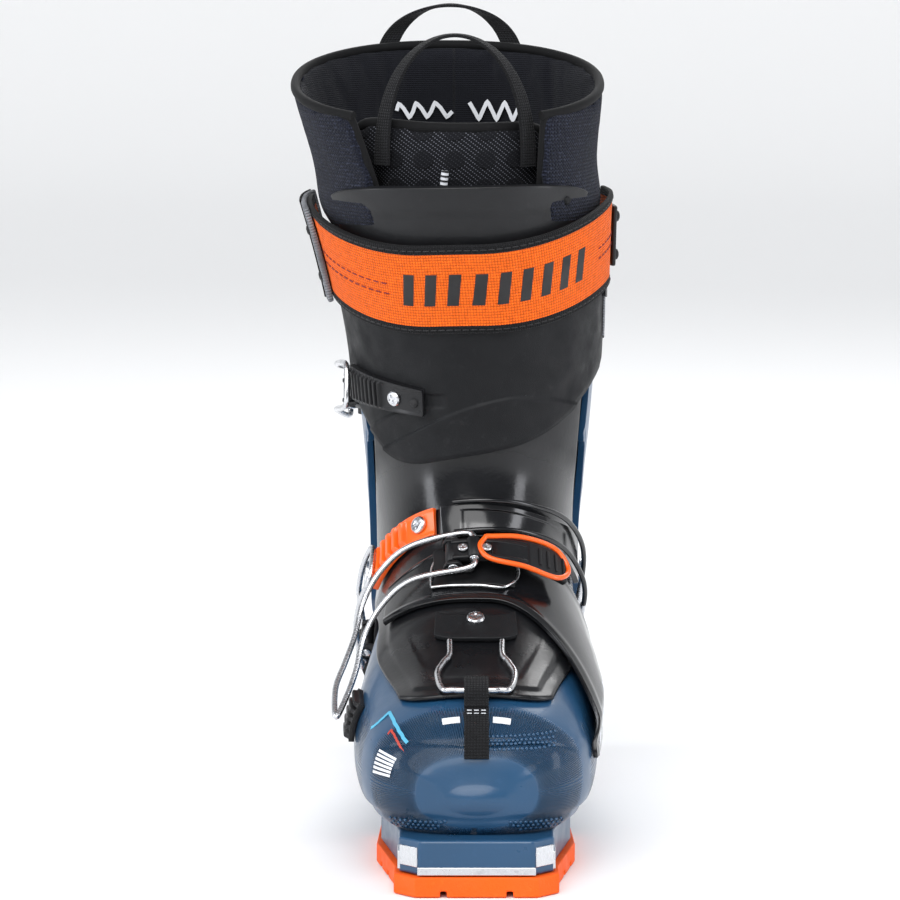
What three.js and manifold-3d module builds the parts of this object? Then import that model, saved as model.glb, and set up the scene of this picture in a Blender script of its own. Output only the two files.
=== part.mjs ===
// A right-foot touring ski boot in three shell pieces: lower shell, cuff and tongue, with its
// liner, three buckles, power strap, walk lever and soles. Millimetres, +Z up, toe towards -Y.
import * as THREE from 'three';
import Module from 'manifold-3d';
import { mergeVertices } from 'three/addons/utils/BufferGeometryUtils.js';

const wasm = await Module();
wasm.setup();

// ---------------------------------------------------------------- driving dimensions
const soleLength = 306;
const lastLength = 282;
const forefootWidth = 98;
const collarHeight = 345;
const footAxisX = 10;          // the leg leans outward, so the foot stands this far inward
const soleThickness = 8.5;
const toeSoleWidth = 70;
const ballSoleWidth = 86;
const heelSoleWidth = 70;
const toeSoleEnd = -28;
const heelSoleStart = 72;
const lugTop = 21;
const lastFloor = lugTop + 2;    // the shell stands on its lugs
const shellWall = 4;
const tongueWall = 3;
const cuffWall = 2.8;
const plateWall = 2.3;
const strapWall = 2.2;
const linerWall = 6.5;
const boardThickness = 6;
const linerFloor = 4;
const fitGap = 0.4;            // between pieces that touch
const layerGap = 0.9;          // between large curved layers
const cuffRunGap = 1.6;        // between the turning cuff and the lower shell
const pivotY = 82;
const pivotZ = 98;
const pivotRadius = 5;
const wireRadius = 1.3;
const pinRadius = 1.5;
const leverWidth = 11.4;
const cheekThickness = 2;
const rivetRadius = 3.4;

// ---------------------------------------------------------------- the last
// Each station is a section of foot or leg, from toe tip to collar, drawn for a last 282 long,
// 98 wide and 345 tall: top y, top z, under y, under z, half width, height of the widest point
// as a share, how square the top and the underside are, and the sideways lean.
const DRAWN = { length: 282, width: 98, height: 345, floor: 23 };
const STATIONS = [
  [-140, 45, -140, 35, 12, 0.50, 2.2, 2.2, 0],
  [-136, 60, -137, 28, 28, 0.48, 2.3, 2.6, 0],
  [-126, 69, -128, 24, 38, 0.46, 2.4, 2.9, 0],
  [-109, 75, -111, 23, 45, 0.45, 2.5, 3.0, 0],
  [-87, 81, -87, 23, 48, 0.43, 2.5, 3.0, 0],
  [-64, 90, -58, 23, 49, 0.41, 2.5, 3.0, 0],
  [-42, 101, -28, 24, 47, 0.40, 2.4, 2.8, 0],
  [-24, 112, 8, 25, 44, 0.40, 2.3, 2.6, 0],
  [-13, 122, 48, 27, 41, 0.42, 2.2, 2.5, 0],
  [-6, 132, 90, 29, 39.5, 0.43, 2.2, 2.4, 0],
  [-2, 142, 128, 33, 39, 0.44, 2.2, 2.3, 0],
  [0, 152, 142, 58, 39, 0.46, 2.2, 2.2, 0],
  [1, 164, 140, 90, 39.5, 0.48, 2.2, 2.2, 0],
  [0, 180, 130, 125, 41.5, 0.50, 2.2, 2.2, 0.5],
  [-4, 201, 121, 160, 44, 0.50, 2.2, 2.2, 0.5],
  [-10, 227, 114, 200, 46.5, 0.50, 2.2, 2.2, 0],
  [-17, 255, 107, 240, 50, 0.50, 2.2, 2.2, -3],
  [-24, 283, 101, 280, 55, 0.50, 2.2, 2.2, -7],
  [-28, 306, 97, 318, 62, 0.50, 2.2, 2.2, -10.5],
  [-28, 318, 96, 345, 67, 0.50, 2.2, 2.2, -12.5],
];
const along = lastLength / DRAWN.length;
const across = forefootWidth / DRAWN.width;
const up = (collarHeight - lastFloor) / (DRAWN.height - DRAWN.floor);
const sideCurve = along ** 2 / across;    // how much flatter the side of the leg gets
const LAST = STATIONS.map(([ty, tz, uy, uz, half, wide, crown, base, lean]) => [
  ty * along,
  lastFloor + (tz - DRAWN.floor) * up,
  uy * along,
  lastFloor + (uz - DRAWN.floor) * up,
  half * across, wide, crown, base, lean * across,
]);
const pivot = new THREE.Vector3(0, pivotY * along, lastFloor + (pivotZ - DRAWN.floor) * up);
const rad = THREE.MathUtils.degToRad;
const mix = THREE.MathUtils.lerp;
const ease = (x, from, to) => THREE.MathUtils.smoothstep(x, from, to);

// A smooth curve through the stations, read at the place u.
function station(u) {
  const last = LAST.length - 1;
  const i = Math.min(Math.max(Math.floor(u), 0), last - 1);
  const f = u - i;
  return LAST[0].map((_, k) => {
    const b = LAST[i][k];
    const c = LAST[i + 1][k];
    const a = i > 0 ? LAST[i - 1][k] : 2 * b - c;
    const d = i < last - 1 ? LAST[i + 2][k] : 2 * c - b;
    return b + 0.5 * f * (c - a + f * (2 * a - 5 * b + 4 * c - d + f * (3 * (b - c) + d - a)));
  });
}

// The surface of the last: u runs from toe to collar, turn goes round from the front line.
function skin(u, turn) {
  const [ty, tz, uy, uz, half, wide, crown, base, lean] = station(u);
  const c = Math.cos(rad(turn));
  const s = Math.sin(rad(turn));
  const power = 2 / (c >= 0 ? crown : base);
  const rise = c >= 0 ? wide + (1 - wide) * c ** power : wide - wide * (-c) ** power;
  const x = half * Math.sign(s) * Math.abs(s) ** power;
  return new THREE.Vector3(x + lean, mix(uy, ty, rise), mix(uz, tz, rise));
}

function outward(u, turn) {
  const du = 0.05;
  const dt = 2;
  const forward = skin(u + du, turn).sub(skin(Math.max(u - du, 0), turn));
  const round = skin(u, turn + dt).sub(skin(u, turn - dt));
  return round.cross(forward).normalize();
}

const proud = (u, turn, d) => skin(u, turn).addScaledVector(outward(u, turn), d);

// ---------------------------------------------------------------- closed solids
function solid(points, faces) {
  const geometry = new THREE.BufferGeometry();
  let volume = 0;
  for (const [a, b, c] of faces) {
    volume += points[a].dot(points[b].clone().cross(points[c]));
  }
  const index = faces.flatMap(([a, b, c]) => (volume > 0 ? [a, b, c] : [a, c, b]));
  geometry.setAttribute('position', new THREE.Float32BufferAttribute(points.flatMap((p) => p.toArray()), 3));
  geometry.setIndex(index);
  return geometry;
}

const read = (value, a, b) => (typeof value === 'function' ? value(a, b) : value);

// A curved plate on the last. place(a, b) gives [u, turn] for a, b from 0 to 1; the plate lies
// between the offsets inner and outer, and closes round on itself when ring is true.
function plate(place, inner, outer, na, nb, ring = false) {
  const points = [];
  const faces = [];
  const cols = ring ? nb : nb + 1;
  const quad = (a, b, c, d) => faces.push([a, b, c], [a, c, d]);
  for (const offset of [outer, inner]) {
    for (let i = 0; i <= na; i += 1) {
      for (let j = 0; j < cols; j += 1) {
        const [a, b] = [i / na, j / nb];
        const [u, turn] = place(a, b);
        points.push(proud(u, turn, read(offset, a, b)));
      }
    }
  }
  const under = (na + 1) * cols;
  const at = (i, j) => i * cols + (j % cols);
  for (let i = 0; i < na; i += 1) {
    for (let j = 0; j < nb; j += 1) {
      quad(at(i, j), at(i, j + 1), at(i + 1, j + 1), at(i + 1, j));
      quad(under + at(i, j), under + at(i + 1, j), under + at(i + 1, j + 1), under + at(i, j + 1));
    }
  }
  for (let j = 0; j < nb; j += 1) {
    quad(at(0, j), under + at(0, j), under + at(0, j + 1), at(0, j + 1));
    quad(at(na, j), at(na, j + 1), under + at(na, j + 1), under + at(na, j));
  }
  for (let i = 0; !ring && i < na; i += 1) {
    quad(at(i, 0), at(i + 1, 0), under + at(i + 1, 0), under + at(i, 0));
    quad(at(i, nb), under + at(i, nb), under + at(i + 1, nb), at(i + 1, nb));
  }
  return solid(points, faces);
}

// A plug of the last, offset all over, with flat ends. All plugs share one grid of rings and
// sides, so that an inner one lies evenly inside an outer one.
const ringStep = 0.62;
const loftSides = 26;
function loft(offset, from, to) {
  const places = [from];
  for (let u = ringStep; u < to - 0.1; u += ringStep) {
    if (u > from + 0.1) places.push(u);
  }
  places.push(to);
  const rings = places.length - 1;
  const sides = loftSides;
  const points = [];
  const faces = [];
  for (const u of places) {
    for (let j = 0; j < sides; j += 1) points.push(proud(u, (360 * j) / sides, offset));
  }
  for (const first of [0, rings * sides]) {
    const middle = new THREE.Vector3();
    for (let j = 0; j < sides; j += 1) middle.addScaledVector(points[first + j], 1 / sides);
    points.push(middle);
  }
  const toeEnd = (rings + 1) * sides;
  for (let j = 0; j < sides; j += 1) {
    const k = (j + 1) % sides;
    for (let i = 0; i < rings; i += 1) {
      const [a, b] = [i * sides, (i + 1) * sides];
      faces.push([a + j, a + k, b + k], [a + j, b + k, b + j]);
    }
    faces.push([toeEnd, k, j], [toeEnd + 1, rings * sides + j, rings * sides + k]);
  }
  return solid(points, faces);
}

// A band of rectangular section along points, each with the direction of its width.
function ribbon(points, widths, width, thickness) {
  const corners = [];
  const faces = [];
  points.forEach((p, i) => {
    const before = points[Math.max(i - 1, 0)];
    const after = points[Math.min(i + 1, points.length - 1)];
    const side = widths[i].clone().normalize();
    const thick = after.clone().sub(before).cross(side).normalize();
    for (const [w, t] of [[1, 1], [1, -1], [-1, -1], [-1, 1]]) {
      corners.push(p.clone().addScaledVector(side, (w * width) / 2).addScaledVector(thick, (t * thickness) / 2));
    }
  });
  for (let i = 0; i < points.length - 1; i += 1) {
    for (let k = 0; k < 4; k += 1) {
      const [a, b] = [4 * i + k, 4 * i + ((k + 1) % 4)];
      faces.push([a, b, b + 4], [a, b + 4, a + 4]);
    }
  }
  const end = 4 * (points.length - 1);
  faces.push([0, 2, 1], [0, 3, 2], [end, end + 1, end + 2], [end, end + 2, end + 3]);
  return solid(corners, faces);
}

// Round wire bent along a smooth curve.
function wire(points, radius, steps, sides = 8) {
  const section = new THREE.Shape();
  for (let k = 0; k < sides; k += 1) {
    const angle = (2 * Math.PI * k) / sides;
    section[k ? 'lineTo' : 'moveTo'](radius * Math.cos(angle), radius * Math.sin(angle));
  }
  const extrudePath = new THREE.CatmullRomCurve3(points, false, 'centripetal');
  return new THREE.ExtrudeGeometry(section, { steps, bevelEnabled: false, extrudePath });
}

// Points over the last, smoothly between places of [u, turn, offset].
function route(places, count) {
  const track = new THREE.CatmullRomCurve3(places.map((place) => new THREE.Vector3(...place)));
  return track.getPoints(count).map((p) => proud(p.x, p.y, p.z));
}

// An outline in the plane drawn as x, y, made thick from z = low to z = high.
function slab(outline, low, high, curveSegments = 8) {
  const shape = Array.isArray(outline) ? new THREE.Shape(outline.map(([x, y]) => new THREE.Vector2(x, y))) : outline;
  const geometry = new THREE.ExtrudeGeometry(shape, { depth: high - low, bevelEnabled: false, curveSegments });
  return geometry.translate(0, 0, low);
}

function box(x0, x1, y0, y1, z0, z1) {
  const geometry = new THREE.BoxGeometry(x1 - x0, y1 - y0, z1 - z0);
  return geometry.translate((x0 + x1) / 2, (y0 + y1) / 2, (z0 + z1) / 2);
}

// A round bar along local y.
function bar(radius, length, x, z, sides = 12) {
  return new THREE.CylinderGeometry(radius, radius, length, sides).translate(x, 0, z);
}

function toManifold(geometry) {
  const bare = geometry.clone();
  bare.deleteAttribute('normal');
  bare.deleteAttribute('uv');
  const merged = mergeVertices(bare, 1e-4);
  return new wasm.Manifold(new wasm.Mesh({
    numProp: 3,
    vertProperties: new Float32Array(merged.attributes.position.array),
    triVerts: new Uint32Array(merged.index.array),
  }));
}

function fromManifold(manifold) {
  const { vertProperties, triVerts, numProp } = manifold.getMesh();
  const geometry = new THREE.BufferGeometry();
  const position = new Float32Array((vertProperties.length / numProp) * 3);
  for (let i = 0; i < position.length; i += 1) {
    position[i] = vertProperties[Math.floor(i / 3) * numProp + (i % 3)];
  }
  geometry.setAttribute('position', new THREE.BufferAttribute(position, 3));
  geometry.setIndex(new THREE.BufferAttribute(new Uint32Array(triVerts), 1));
  return geometry;
}

const join = (...shapes) => fromManifold(shapes.map(toManifold).reduce((a, b) => a.add(b)));
const cut = (shape, ...tools) => fromManifold(tools.map(toManifold).reduce((a, b) => a.subtract(b), toManifold(shape)));
const common = (a, b) => fromManifold(toManifold(a).intersect(toManifold(b)));

// ---------------------------------------------------------------- finishes and assembly
const FINISH = {
  blue: [0x264e73, 0.38, 0],
  orange: [0xf26a1b, 0.5, 0],
  black: [0x17181a, 0.45, 0],
  gloss: [0x0e0f11, 0.2, 0],
  matte: [0x232426, 0.75, 0],
  steel: [0xc4c7ca, 0.28, 1],
  fabric: [0x1d2230, 0.95, 0],
  webbing: [0x131417, 0.9, 0],
  strap: [0xf47a2a, 0.9, 0],
  board: [0x3a3d40, 0.9, 0],
};
const boot = new THREE.Group();
boot.position.x = footAxisX;

function add(name, geometry, finish, parent = boot) {
  const [color, roughness, metalness] = FINISH[finish];
  const mesh = new THREE.Mesh(geometry, new THREE.MeshStandardMaterial({ color, roughness, metalness }));
  mesh.name = name;
  parent.add(mesh);
  return mesh;
}

// A seat on the last: local z points out of the boot, local x round it (towards the side that
// pull names, 1 or -1) and tilted by spin degrees.
function seat(u, turn, offset, pull = 1, spin = 0) {
  const z = outward(u, turn);
  const round = skin(u, turn + 1).sub(skin(u, turn - 1)).multiplyScalar(pull);
  const x = round.addScaledVector(z, -round.dot(z)).normalize();
  x.applyAxisAngle(z, rad(spin));
  const y = z.clone().cross(x);
  const group = new THREE.Group();
  group.matrixAutoUpdate = false;
  group.matrix.makeBasis(x, y, z).setPosition(proud(u, turn, offset));
  boot.add(group);
  return group;
}

// ---------------------------------------------------------------- offsets of the layers
const tongueInner = shellWall + layerGap;
const tongueOuter = tongueInner + tongueWall;
const cuffInner = shellWall + cuffRunGap;
const cuffOuter = cuffInner + cuffWall;
const plateInner = cuffOuter + layerGap;
const plateOuter = plateInner + plateWall;
const strapInner = plateOuter + fitGap;
const strapOuter = strapInner + strapWall;
const footStrapInner = tongueOuter + layerGap;
const footStrapOuter = footStrapInner + strapWall;

// ---------------------------------------------------------------- soles
const sideOf = (width) => width / 2;
const front = -soleLength / 2;
const rear = soleLength / 2;
function toeOutline(inset) {
  const toe = sideOf(toeSoleWidth) - inset;
  const ball = sideOf(ballSoleWidth) - inset;
  const nose = front + inset;
  return [
    [-toe + 9, nose], [toe - 9, nose], [toe, nose + 9], [toe, nose + 24], [ball, nose + 70],
    [ball - 2, toeSoleEnd - inset], [-ball + 2, toeSoleEnd - inset], [-ball, nose + 70],
    [-toe, nose + 24], [-toe, nose + 9],
  ];
}
function heelOutline(inset) {
  const half = sideOf(heelSoleWidth) - inset;
  const back = rear - inset;
  return [
    [-half, heelSoleStart + inset], [half, heelSoleStart + inset], [half, back - 26],
    [half - 6, back - 9], [half - 17, back], [-half + 17, back], [-half + 6, back - 9], [-half, back - 26],
  ];
}
const treadDepth = 2.4;
const grooves = (from, to, step, half) => {
  const cuts = [];
  for (let y = from; y < to; y += step) cuts.push(box(-half, half, y, y + 4, -1, treadDepth));
  return cuts;
};
add('toe_sole', cut(slab(toeOutline(0), 0, soleThickness), ...grooves(front + 22, toeSoleEnd - 10, 17, 60)), 'orange');
add('heel_sole', cut(slab(heelOutline(0), 0, soleThickness), ...grooves(heelSoleStart + 14, rear - 20, 15, 60)), 'orange');

// ---------------------------------------------------------------- lower shell
const lugFloor = soleThickness + fitGap;
const lugInset = 2;
const throatFrom = 4.1;
const shellTo = 12.4;
const throatHalf = (u) => 46 * ease(u, throatFrom - 0.4, 7.2) + 4 * ease(u, 8, 12);
const throat = plate(
  (a, b) => [mix(throatFrom, shellTo + 0.5, a), mix(-1, 1, b) * throatHalf(mix(throatFrom, shellTo + 0.5, a))],
  -10, 12, 12, 8,
);
const socketDepth = 3.5;
const socketLength = 13;
const socketHeight = 8;
const socketZ = 14;
const socketY = front + 17;
const socketX = sideOf(toeSoleWidth) - lugInset;
const pocket = (side, gap) => box(
  side > 0 ? socketX - socketDepth - gap : -socketX - 1,
  side > 0 ? socketX + 1 : -socketX + socketDepth + gap,
  socketY - socketLength / 2 - gap,
  socketY + socketLength / 2 + gap,
  socketZ - socketHeight / 2 - gap,
  socketZ + socketHeight / 2 + gap,
);
const heelPlateHalf = 14;
const heelPlateDepth = 3;
const heelPlateTop = lugTop - 2;
const heelPocket = (gap) => box(
  -heelPlateHalf - gap, heelPlateHalf + gap,
  rear - lugInset - heelPlateDepth - gap, rear + 1,
  lugFloor + 1 - gap, heelPlateTop + gap,
);
const bodyShape = join(
  loft(shellWall, 0, shellTo),
  slab(toeOutline(lugInset), lugFloor, lugTop),
  slab(heelOutline(lugInset), lugFloor, lugTop + 4),
);
add('lower_shell', cut(
  bodyShape,
  loft(0, 0.2, shellTo + 0.6),
  throat,
  pocket(1, fitGap), pocket(-1, fitGap), heelPocket(fitGap),
), 'blue');

// Hardened steel sockets for the toe pins, and the slotted plate for the heel pins.
const dimpleRadius = 3;
for (const side of [1, -1]) {
  const dimple = new THREE.CylinderGeometry(dimpleRadius, 0.6, 2.4, 12);
  dimple.rotateZ(side > 0 ? -Math.PI / 2 : Math.PI / 2).translate(side * (socketX - 0.9), socketY, socketZ);
  const block = common(pocket(side, 0), box(-socketX, socketX, front, 0, 0, lugTop));
  add(side > 0 ? 'toe_pin_socket_inner' : 'toe_pin_socket_outer', cut(block, dimple), 'steel');
}
const slotHalf = 2.2;
const heelSlot = (x) => box(x - slotHalf, x + slotHalf, rear - lugInset - 2, rear + 2, lugFloor, heelPlateTop - 5);
const heelBlock = common(heelPocket(0), box(-40, 40, 0, rear - lugInset, 0, lugTop));
add('heel_pin_plate', cut(heelBlock, heelSlot(8), heelSlot(-8)), 'steel');

// ---------------------------------------------------------------- inside the foot
const boardTop = lastFloor + boardThickness;
add('boot_board', common(
  loft(-layerGap, 0.7, 11.4),
  box(-60, 60, -200, 200, lastFloor - 5, boardTop),
), 'board');
const linerTo = 11.7;
add('liner_foot', cut(
  loft(-layerGap, 0.7, linerTo),
  common(
    loft(-layerGap - linerWall, 1.4, linerTo + 0.8),
    box(-60, 60, -200, 200, boardTop + fitGap + linerFloor, collarHeight),
  ),
  box(-60, 60, -200, 200, 0, boardTop + fitGap),
), 'fabric');

// ---------------------------------------------------------------- tongue
const tongueFrom = 2.75;
const tongueTo = 12.05;
const tongueHalf = (u) => 37 + 14 * ease(u, 3, 6) + 20 * ease(u, 6, 9);
add('tongue_lower', plate(
  (a, b) => {
    const edge = Math.abs(2 * b - 1);
    const u = mix(tongueFrom + 0.45 * edge ** 4, tongueTo, a);
    return [u, mix(-1, 1, b) * tongueHalf(u)];
  },
  tongueInner, tongueOuter, 16, 12,
), 'gloss');
const upperTongueFrom = 12.65;
const lipTo = (b) => 17.3 - 0.25 * Math.abs(2 * b - 1) ** 4;
const upperTongueHalf = (u) => 70 - 4 * ease(u, 12, 14);
add('tongue_upper', plate(
  (a, b) => {
    const u = mix(upperTongueFrom, lipTo(b), a);
    return [u, mix(-1, 1, b) * upperTongueHalf(u)];
  },
  tongueInner, tongueOuter, 8, 12,
), 'matte');
const tabOuter = tongueOuter + fitGap + 2;
add('tongue_tab', plate(
  (a, b) => [mix(4.75, 5.5, a) + 0.2 * Math.abs(2 * b - 1) ** 3, mix(-15, 15, b)],
  tongueOuter + fitGap, tabOuter, 4, 6,
), 'black');

// ---------------------------------------------------------------- fasteners
function rivet(name, u, turn, offset, radius = rivetRadius, height = 1.8) {
  const head = new THREE.LatheGeometry([
    new THREE.Vector2(0, 0), new THREE.Vector2(radius, 0), new THREE.Vector2(radius, height * 0.5),
    new THREE.Vector2(radius * 0.6, height), new THREE.Vector2(0, height),
  ], 12).rotateX(Math.PI / 2);
  add(name, head, 'steel', seat(u, turn, offset + fitGap));
}
rivet('tongue_rivet', 5.35, 0, tabOuter, 4);

// ---------------------------------------------------------------- toe bail and its pull strap
const bailOffset = tongueOuter + fitGap + wireRadius + 0.1;
const omega = [[4.7, 8.5], [4.35, 8.5], [3.95, 11.5], [3.4, 14.5], [2.95, 14], [2.7, 8], [2.66, 3]];
const omegaPoints = [
  ...omega.map(([u, turn]) => proud(u, -turn, bailOffset)),
  ...omega.slice().reverse().map(([u, turn]) => proud(u, turn, bailOffset)),
];
add('toe_bail', wire(omegaPoints, wireRadius, 32, 6), 'steel');
const pullWidth = 10.5;
const pullPlaces = [[3.0, 2.7], [2.75, 2.7], [2.45, 2.0], [2.15, -2.4], [1.75, -4.2], [1.3, -4.2], [0.95, -4.2], [0.7, -4.2]];
const pullPoints = pullPlaces.map(([u, lift]) => proud(u, 0, bailOffset + lift));
add('toe_pull_strap', ribbon(pullPoints, pullPoints.map(() => new THREE.Vector3(1, 0, 0)), pullWidth, 1.6), 'webbing');

// ---------------------------------------------------------------- cuff
const hem = (turn) => {
  const t = Math.abs(turn);
  return 13.3 - 2.8 * ease(t, 76, 92) + 2.5 * ease(t, 106, 148);
};
const cuffTop = (turn) => 16.3 + 0.5 * ease(Math.abs(turn), 90, 150);
const cuffEdge = 74;
const backTurn = (b) => mix(cuffEdge, 360 - cuffEdge, b);
const fold = (turn) => (turn > 180 ? turn - 360 : turn);
const boreRadius = pivotRadius + fitGap;
const through = (radius) => new THREE.CylinderGeometry(radius, radius, 200, 16)
  .rotateZ(Math.PI / 2).translate(0, pivot.y, pivot.z);
add('cuff_shell', cut(
  plate(
    (a, b) => {
      const turn = backTurn(b);
      return [mix(hem(fold(turn)), cuffTop(fold(turn)), a), turn];
    },
    cuffInner, cuffOuter, 9, 28,
  ),
  through(boreRadius),
), 'blue');

// The pivot bolts sit in the cuff's bores, their heads outside it and their faces on the shell.
const pivotU = 11.1;
const pivotTurn = 97;
for (const side of [1, -1]) {
  const faceX = Math.abs(proud(pivotU, side * pivotTurn, shellWall).x) + fitGap;
  const headX = Math.abs(proud(pivotU, side * pivotTurn, cuffOuter).x) + 1.4;
  const profile = [
    new THREE.Vector2(0, faceX), new THREE.Vector2(pivotRadius, faceX), new THREE.Vector2(pivotRadius, headX),
    new THREE.Vector2(pivotRadius + 4, headX), new THREE.Vector2(pivotRadius + 3, headX + 2.5),
    new THREE.Vector2(0, headX + 2.5),
  ];
  const bolt = new THREE.LatheGeometry(profile, 20).rotateZ(-Math.PI / 2);
  if (side < 0) bolt.rotateZ(Math.PI);
  add(side > 0 ? 'ankle_bolt_inner' : 'ankle_bolt_outer', bolt.translate(0, pivot.y, pivot.z), 'steel');
}

// The black plate that wraps the shin, over the cuff's two edges.
const shinHem = (turn) => (turn < -20
  ? mix(12.15, 14.2, ease(-turn, 20, 92))
  : mix(12.15, 14.6, ease(turn, -20, 92) ** 1.15));
const shinTop = 16.2;
add('shin_plate', plate(
  (a, b) => {
    const turn = mix(-94, 94, b);
    return [mix(shinHem(turn), shinTop, a), turn];
  },
  plateInner, plateOuter, 8, 22,
), 'matte');

// ---------------------------------------------------------------- power strap
const strapLow = (turn) => 15.0 + 0.75 * ease(Math.abs(turn + 6), 10, 100);
const strapHigh = (turn) => 16.42 + 0.6 * ease(Math.abs(turn + 6), 10, 100);
add('power_strap', plate(
  (a, b) => {
    const turn = mix(-100, 108, b);
    return [mix(strapLow(turn), strapHigh(turn), a), turn];
  },
  strapInner, strapOuter, 3, 28,
), 'strap');
add('strap_tail', plate(
  (a, b) => {
    const turn = mix(-112, -80, b);
    return [mix(strapLow(turn) - 0.02, strapHigh(turn) + 0.02, a), turn];
  },
  strapOuter + fitGap, strapOuter + fitGap + 2.6, 5, 8,
), 'board');
add('strap_hook', plate(
  (a, b) => {
    const turn = mix(92, 112, b);
    return [mix(strapLow(turn) + 0.25, strapHigh(turn) - 0.25, a), turn];
  },
  strapOuter + fitGap, strapOuter + fitGap + 2.2, 4, 6,
), 'black');

// ---------------------------------------------------------------- liner above the ankle
const linerOuter = tongueInner - fitGap;
const collarEdge = 34;
add('liner_cuff', plate(
  (a, b) => {
    const turn = mix(collarEdge, 360 - collarEdge, b);
    const low = mix(13.05, 13.95, ease(Math.cos(rad(turn)), -0.3, 0.6));
    return [mix(low, 19, a), turn];
  },
  (a) => linerOuter - 1.5 - linerWall * (1 - 0.35 * a), (a) => linerOuter - 5 * (1 - ease(a, 0, 0.25)), 8, 24,
), 'fabric');
add('liner_tongue', plate(
  (a, b) => {
    const turn = mix(-60, 60, b);
    return [mix(14.0, 18.7 - 0.9 * Math.abs(2 * b - 1) ** 2.5, a), turn];
  },
  -14, (a) => -9 + 1.5 * a, 6, 10,
), 'fabric');

// Webbing loops to pull the boot on by, one behind the leg and one on the liner's tongue.
const loopThickness = 1.6;
function loop(name, u, turn, offset, rise, width, facing) {
  const left = proud(u, -turn, offset);
  const right = proud(u, turn, offset);
  const across = skin(u, turn + 1).sub(skin(u, turn - 1));
  const slope = Math.abs(across.y / across.x);
  const points = [];
  const widths = [];
  const steps = 20;
  for (let i = 0; i <= steps; i += 1) {
    const angle = Math.PI * (i / steps);
    const point = left.clone().lerp(right, (1 - Math.cos(angle)) / 2);
    points.push(point.addScaledVector(rise, Math.sin(angle) ** 0.8));
    const flat = Math.abs(Math.cos(angle));
    widths.push(new THREE.Vector3(-facing * Math.cos(angle), -Math.sin(angle) + facing * slope * flat, 0));
  }
  add(name, ribbon(points, widths, width, loopThickness), 'webbing');
}
const loopSagitta = 3.2 / across;         // a flat band on a rounder leg stands further off
loop('rear_pull_loop', 18.4, 157, linerOuter + loopSagitta, new THREE.Vector3(0, 5, 45), 9, 1);
loop('tongue_pull_loop', 17.5, 34, -4.2, new THREE.Vector3(0, -12, 58), 8, -1);

// ---------------------------------------------------------------- ladders, racks and straps
const tooth = (x, count) => Math.abs(((x * count) % 1) - 0.5) * 2;
const ladderTooth = 1.8;
const cuffLadder = { from: -22, to: -70, u: (turn) => 13.72 + 0.012 * (-turn - 20), half: 0.27 };
add('cuff_ladder', plate(
  (a, b) => {
    const turn = mix(cuffLadder.from, cuffLadder.to, b);
    return [cuffLadder.u(turn) + mix(-1, 1, a) * cuffLadder.half, turn];
  },
  strapInner, (a, b) => strapInner + 2.2 + (b > 0.45 ? ladderTooth * tooth(b, 16) : 0), 2, 32,
), 'black');
rivet('cuff_ladder_screw', cuffLadder.u(-36), -36, strapInner + 2.2);

const instepInner = tongueOuter + layerGap;
add('instep_plate', plate(
  (a, b) => {
    const turn = mix(-14, 66, b);
    return [mix(8.45, 10.15, a) + 0.9 * ease(turn, 20, 70), turn];
  },
  instepInner, instepInner + 2.4, 5, 16,
), 'gloss');
const instepLadder = { from: -17, to: -60, u: (turn) => 9.45 - 0.004 * (-turn - 17), half: 0.72 };
add('instep_ladder', plate(
  (a, b) => {
    const turn = mix(instepLadder.from, instepLadder.to, b);
    return [instepLadder.u(turn) + mix(-1, 1, a) * instepLadder.half, turn];
  },
  instepInner, (a, b) => instepInner + 2.6 + (b > 0.35 ? ladderTooth * tooth(b, 12) : 0), 2, 30,
), 'orange');
rivet('instep_ladder_screw', instepLadder.u(-24), -24, instepInner + 2.6, 4);

const rack = { from: -64, to: -86, u: 4.55, half: 0.34 };
add('forefoot_rack', plate(
  (a, b) => [rack.u + mix(-1, 1, a) * rack.half, mix(rack.from, rack.to, b)],
  shellWall + fitGap, (a, b) => shellWall + fitGap + 2 + 2.6 * tooth(b, 5), 2, 20,
), 'black');

const sideTurn = 86;
const footStrapLow = (turn) => mix(5.95, 3.2, ease(turn, 5, 84));
const footStrapHigh = (turn) => mix(7.35, 8.1, ease(turn, -43, 0)) - 2.6 * ease(turn, 58, 88);
const footStrapIn = (turn) => mix(footStrapInner, shellWall + fitGap, ease(turn, 66, 80));
add('forefoot_strap', plate(
  (a, b) => {
    const turn = mix(-42, sideTurn, b);
    return [mix(footStrapLow(turn), footStrapHigh(turn), a), turn];
  },
  (a, b) => footStrapIn(mix(-42, sideTurn, b)),
  (a, b) => footStrapIn(mix(-42, sideTurn, b)) + strapWall, 4, 18,
), 'gloss');

// ---------------------------------------------------------------- buckles
// In a buckle's own frame x points to its ladder, y along the hinge and z out of the boot.
const pinHeight = 5;
const bailSpread = leverWidth / 2 + cheekThickness + fitGap + wireRadius + 1;
const bailReach = 9.5;
const hubRadius = 3.2;
const eyeRadius = wireRadius + 0.3;

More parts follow.
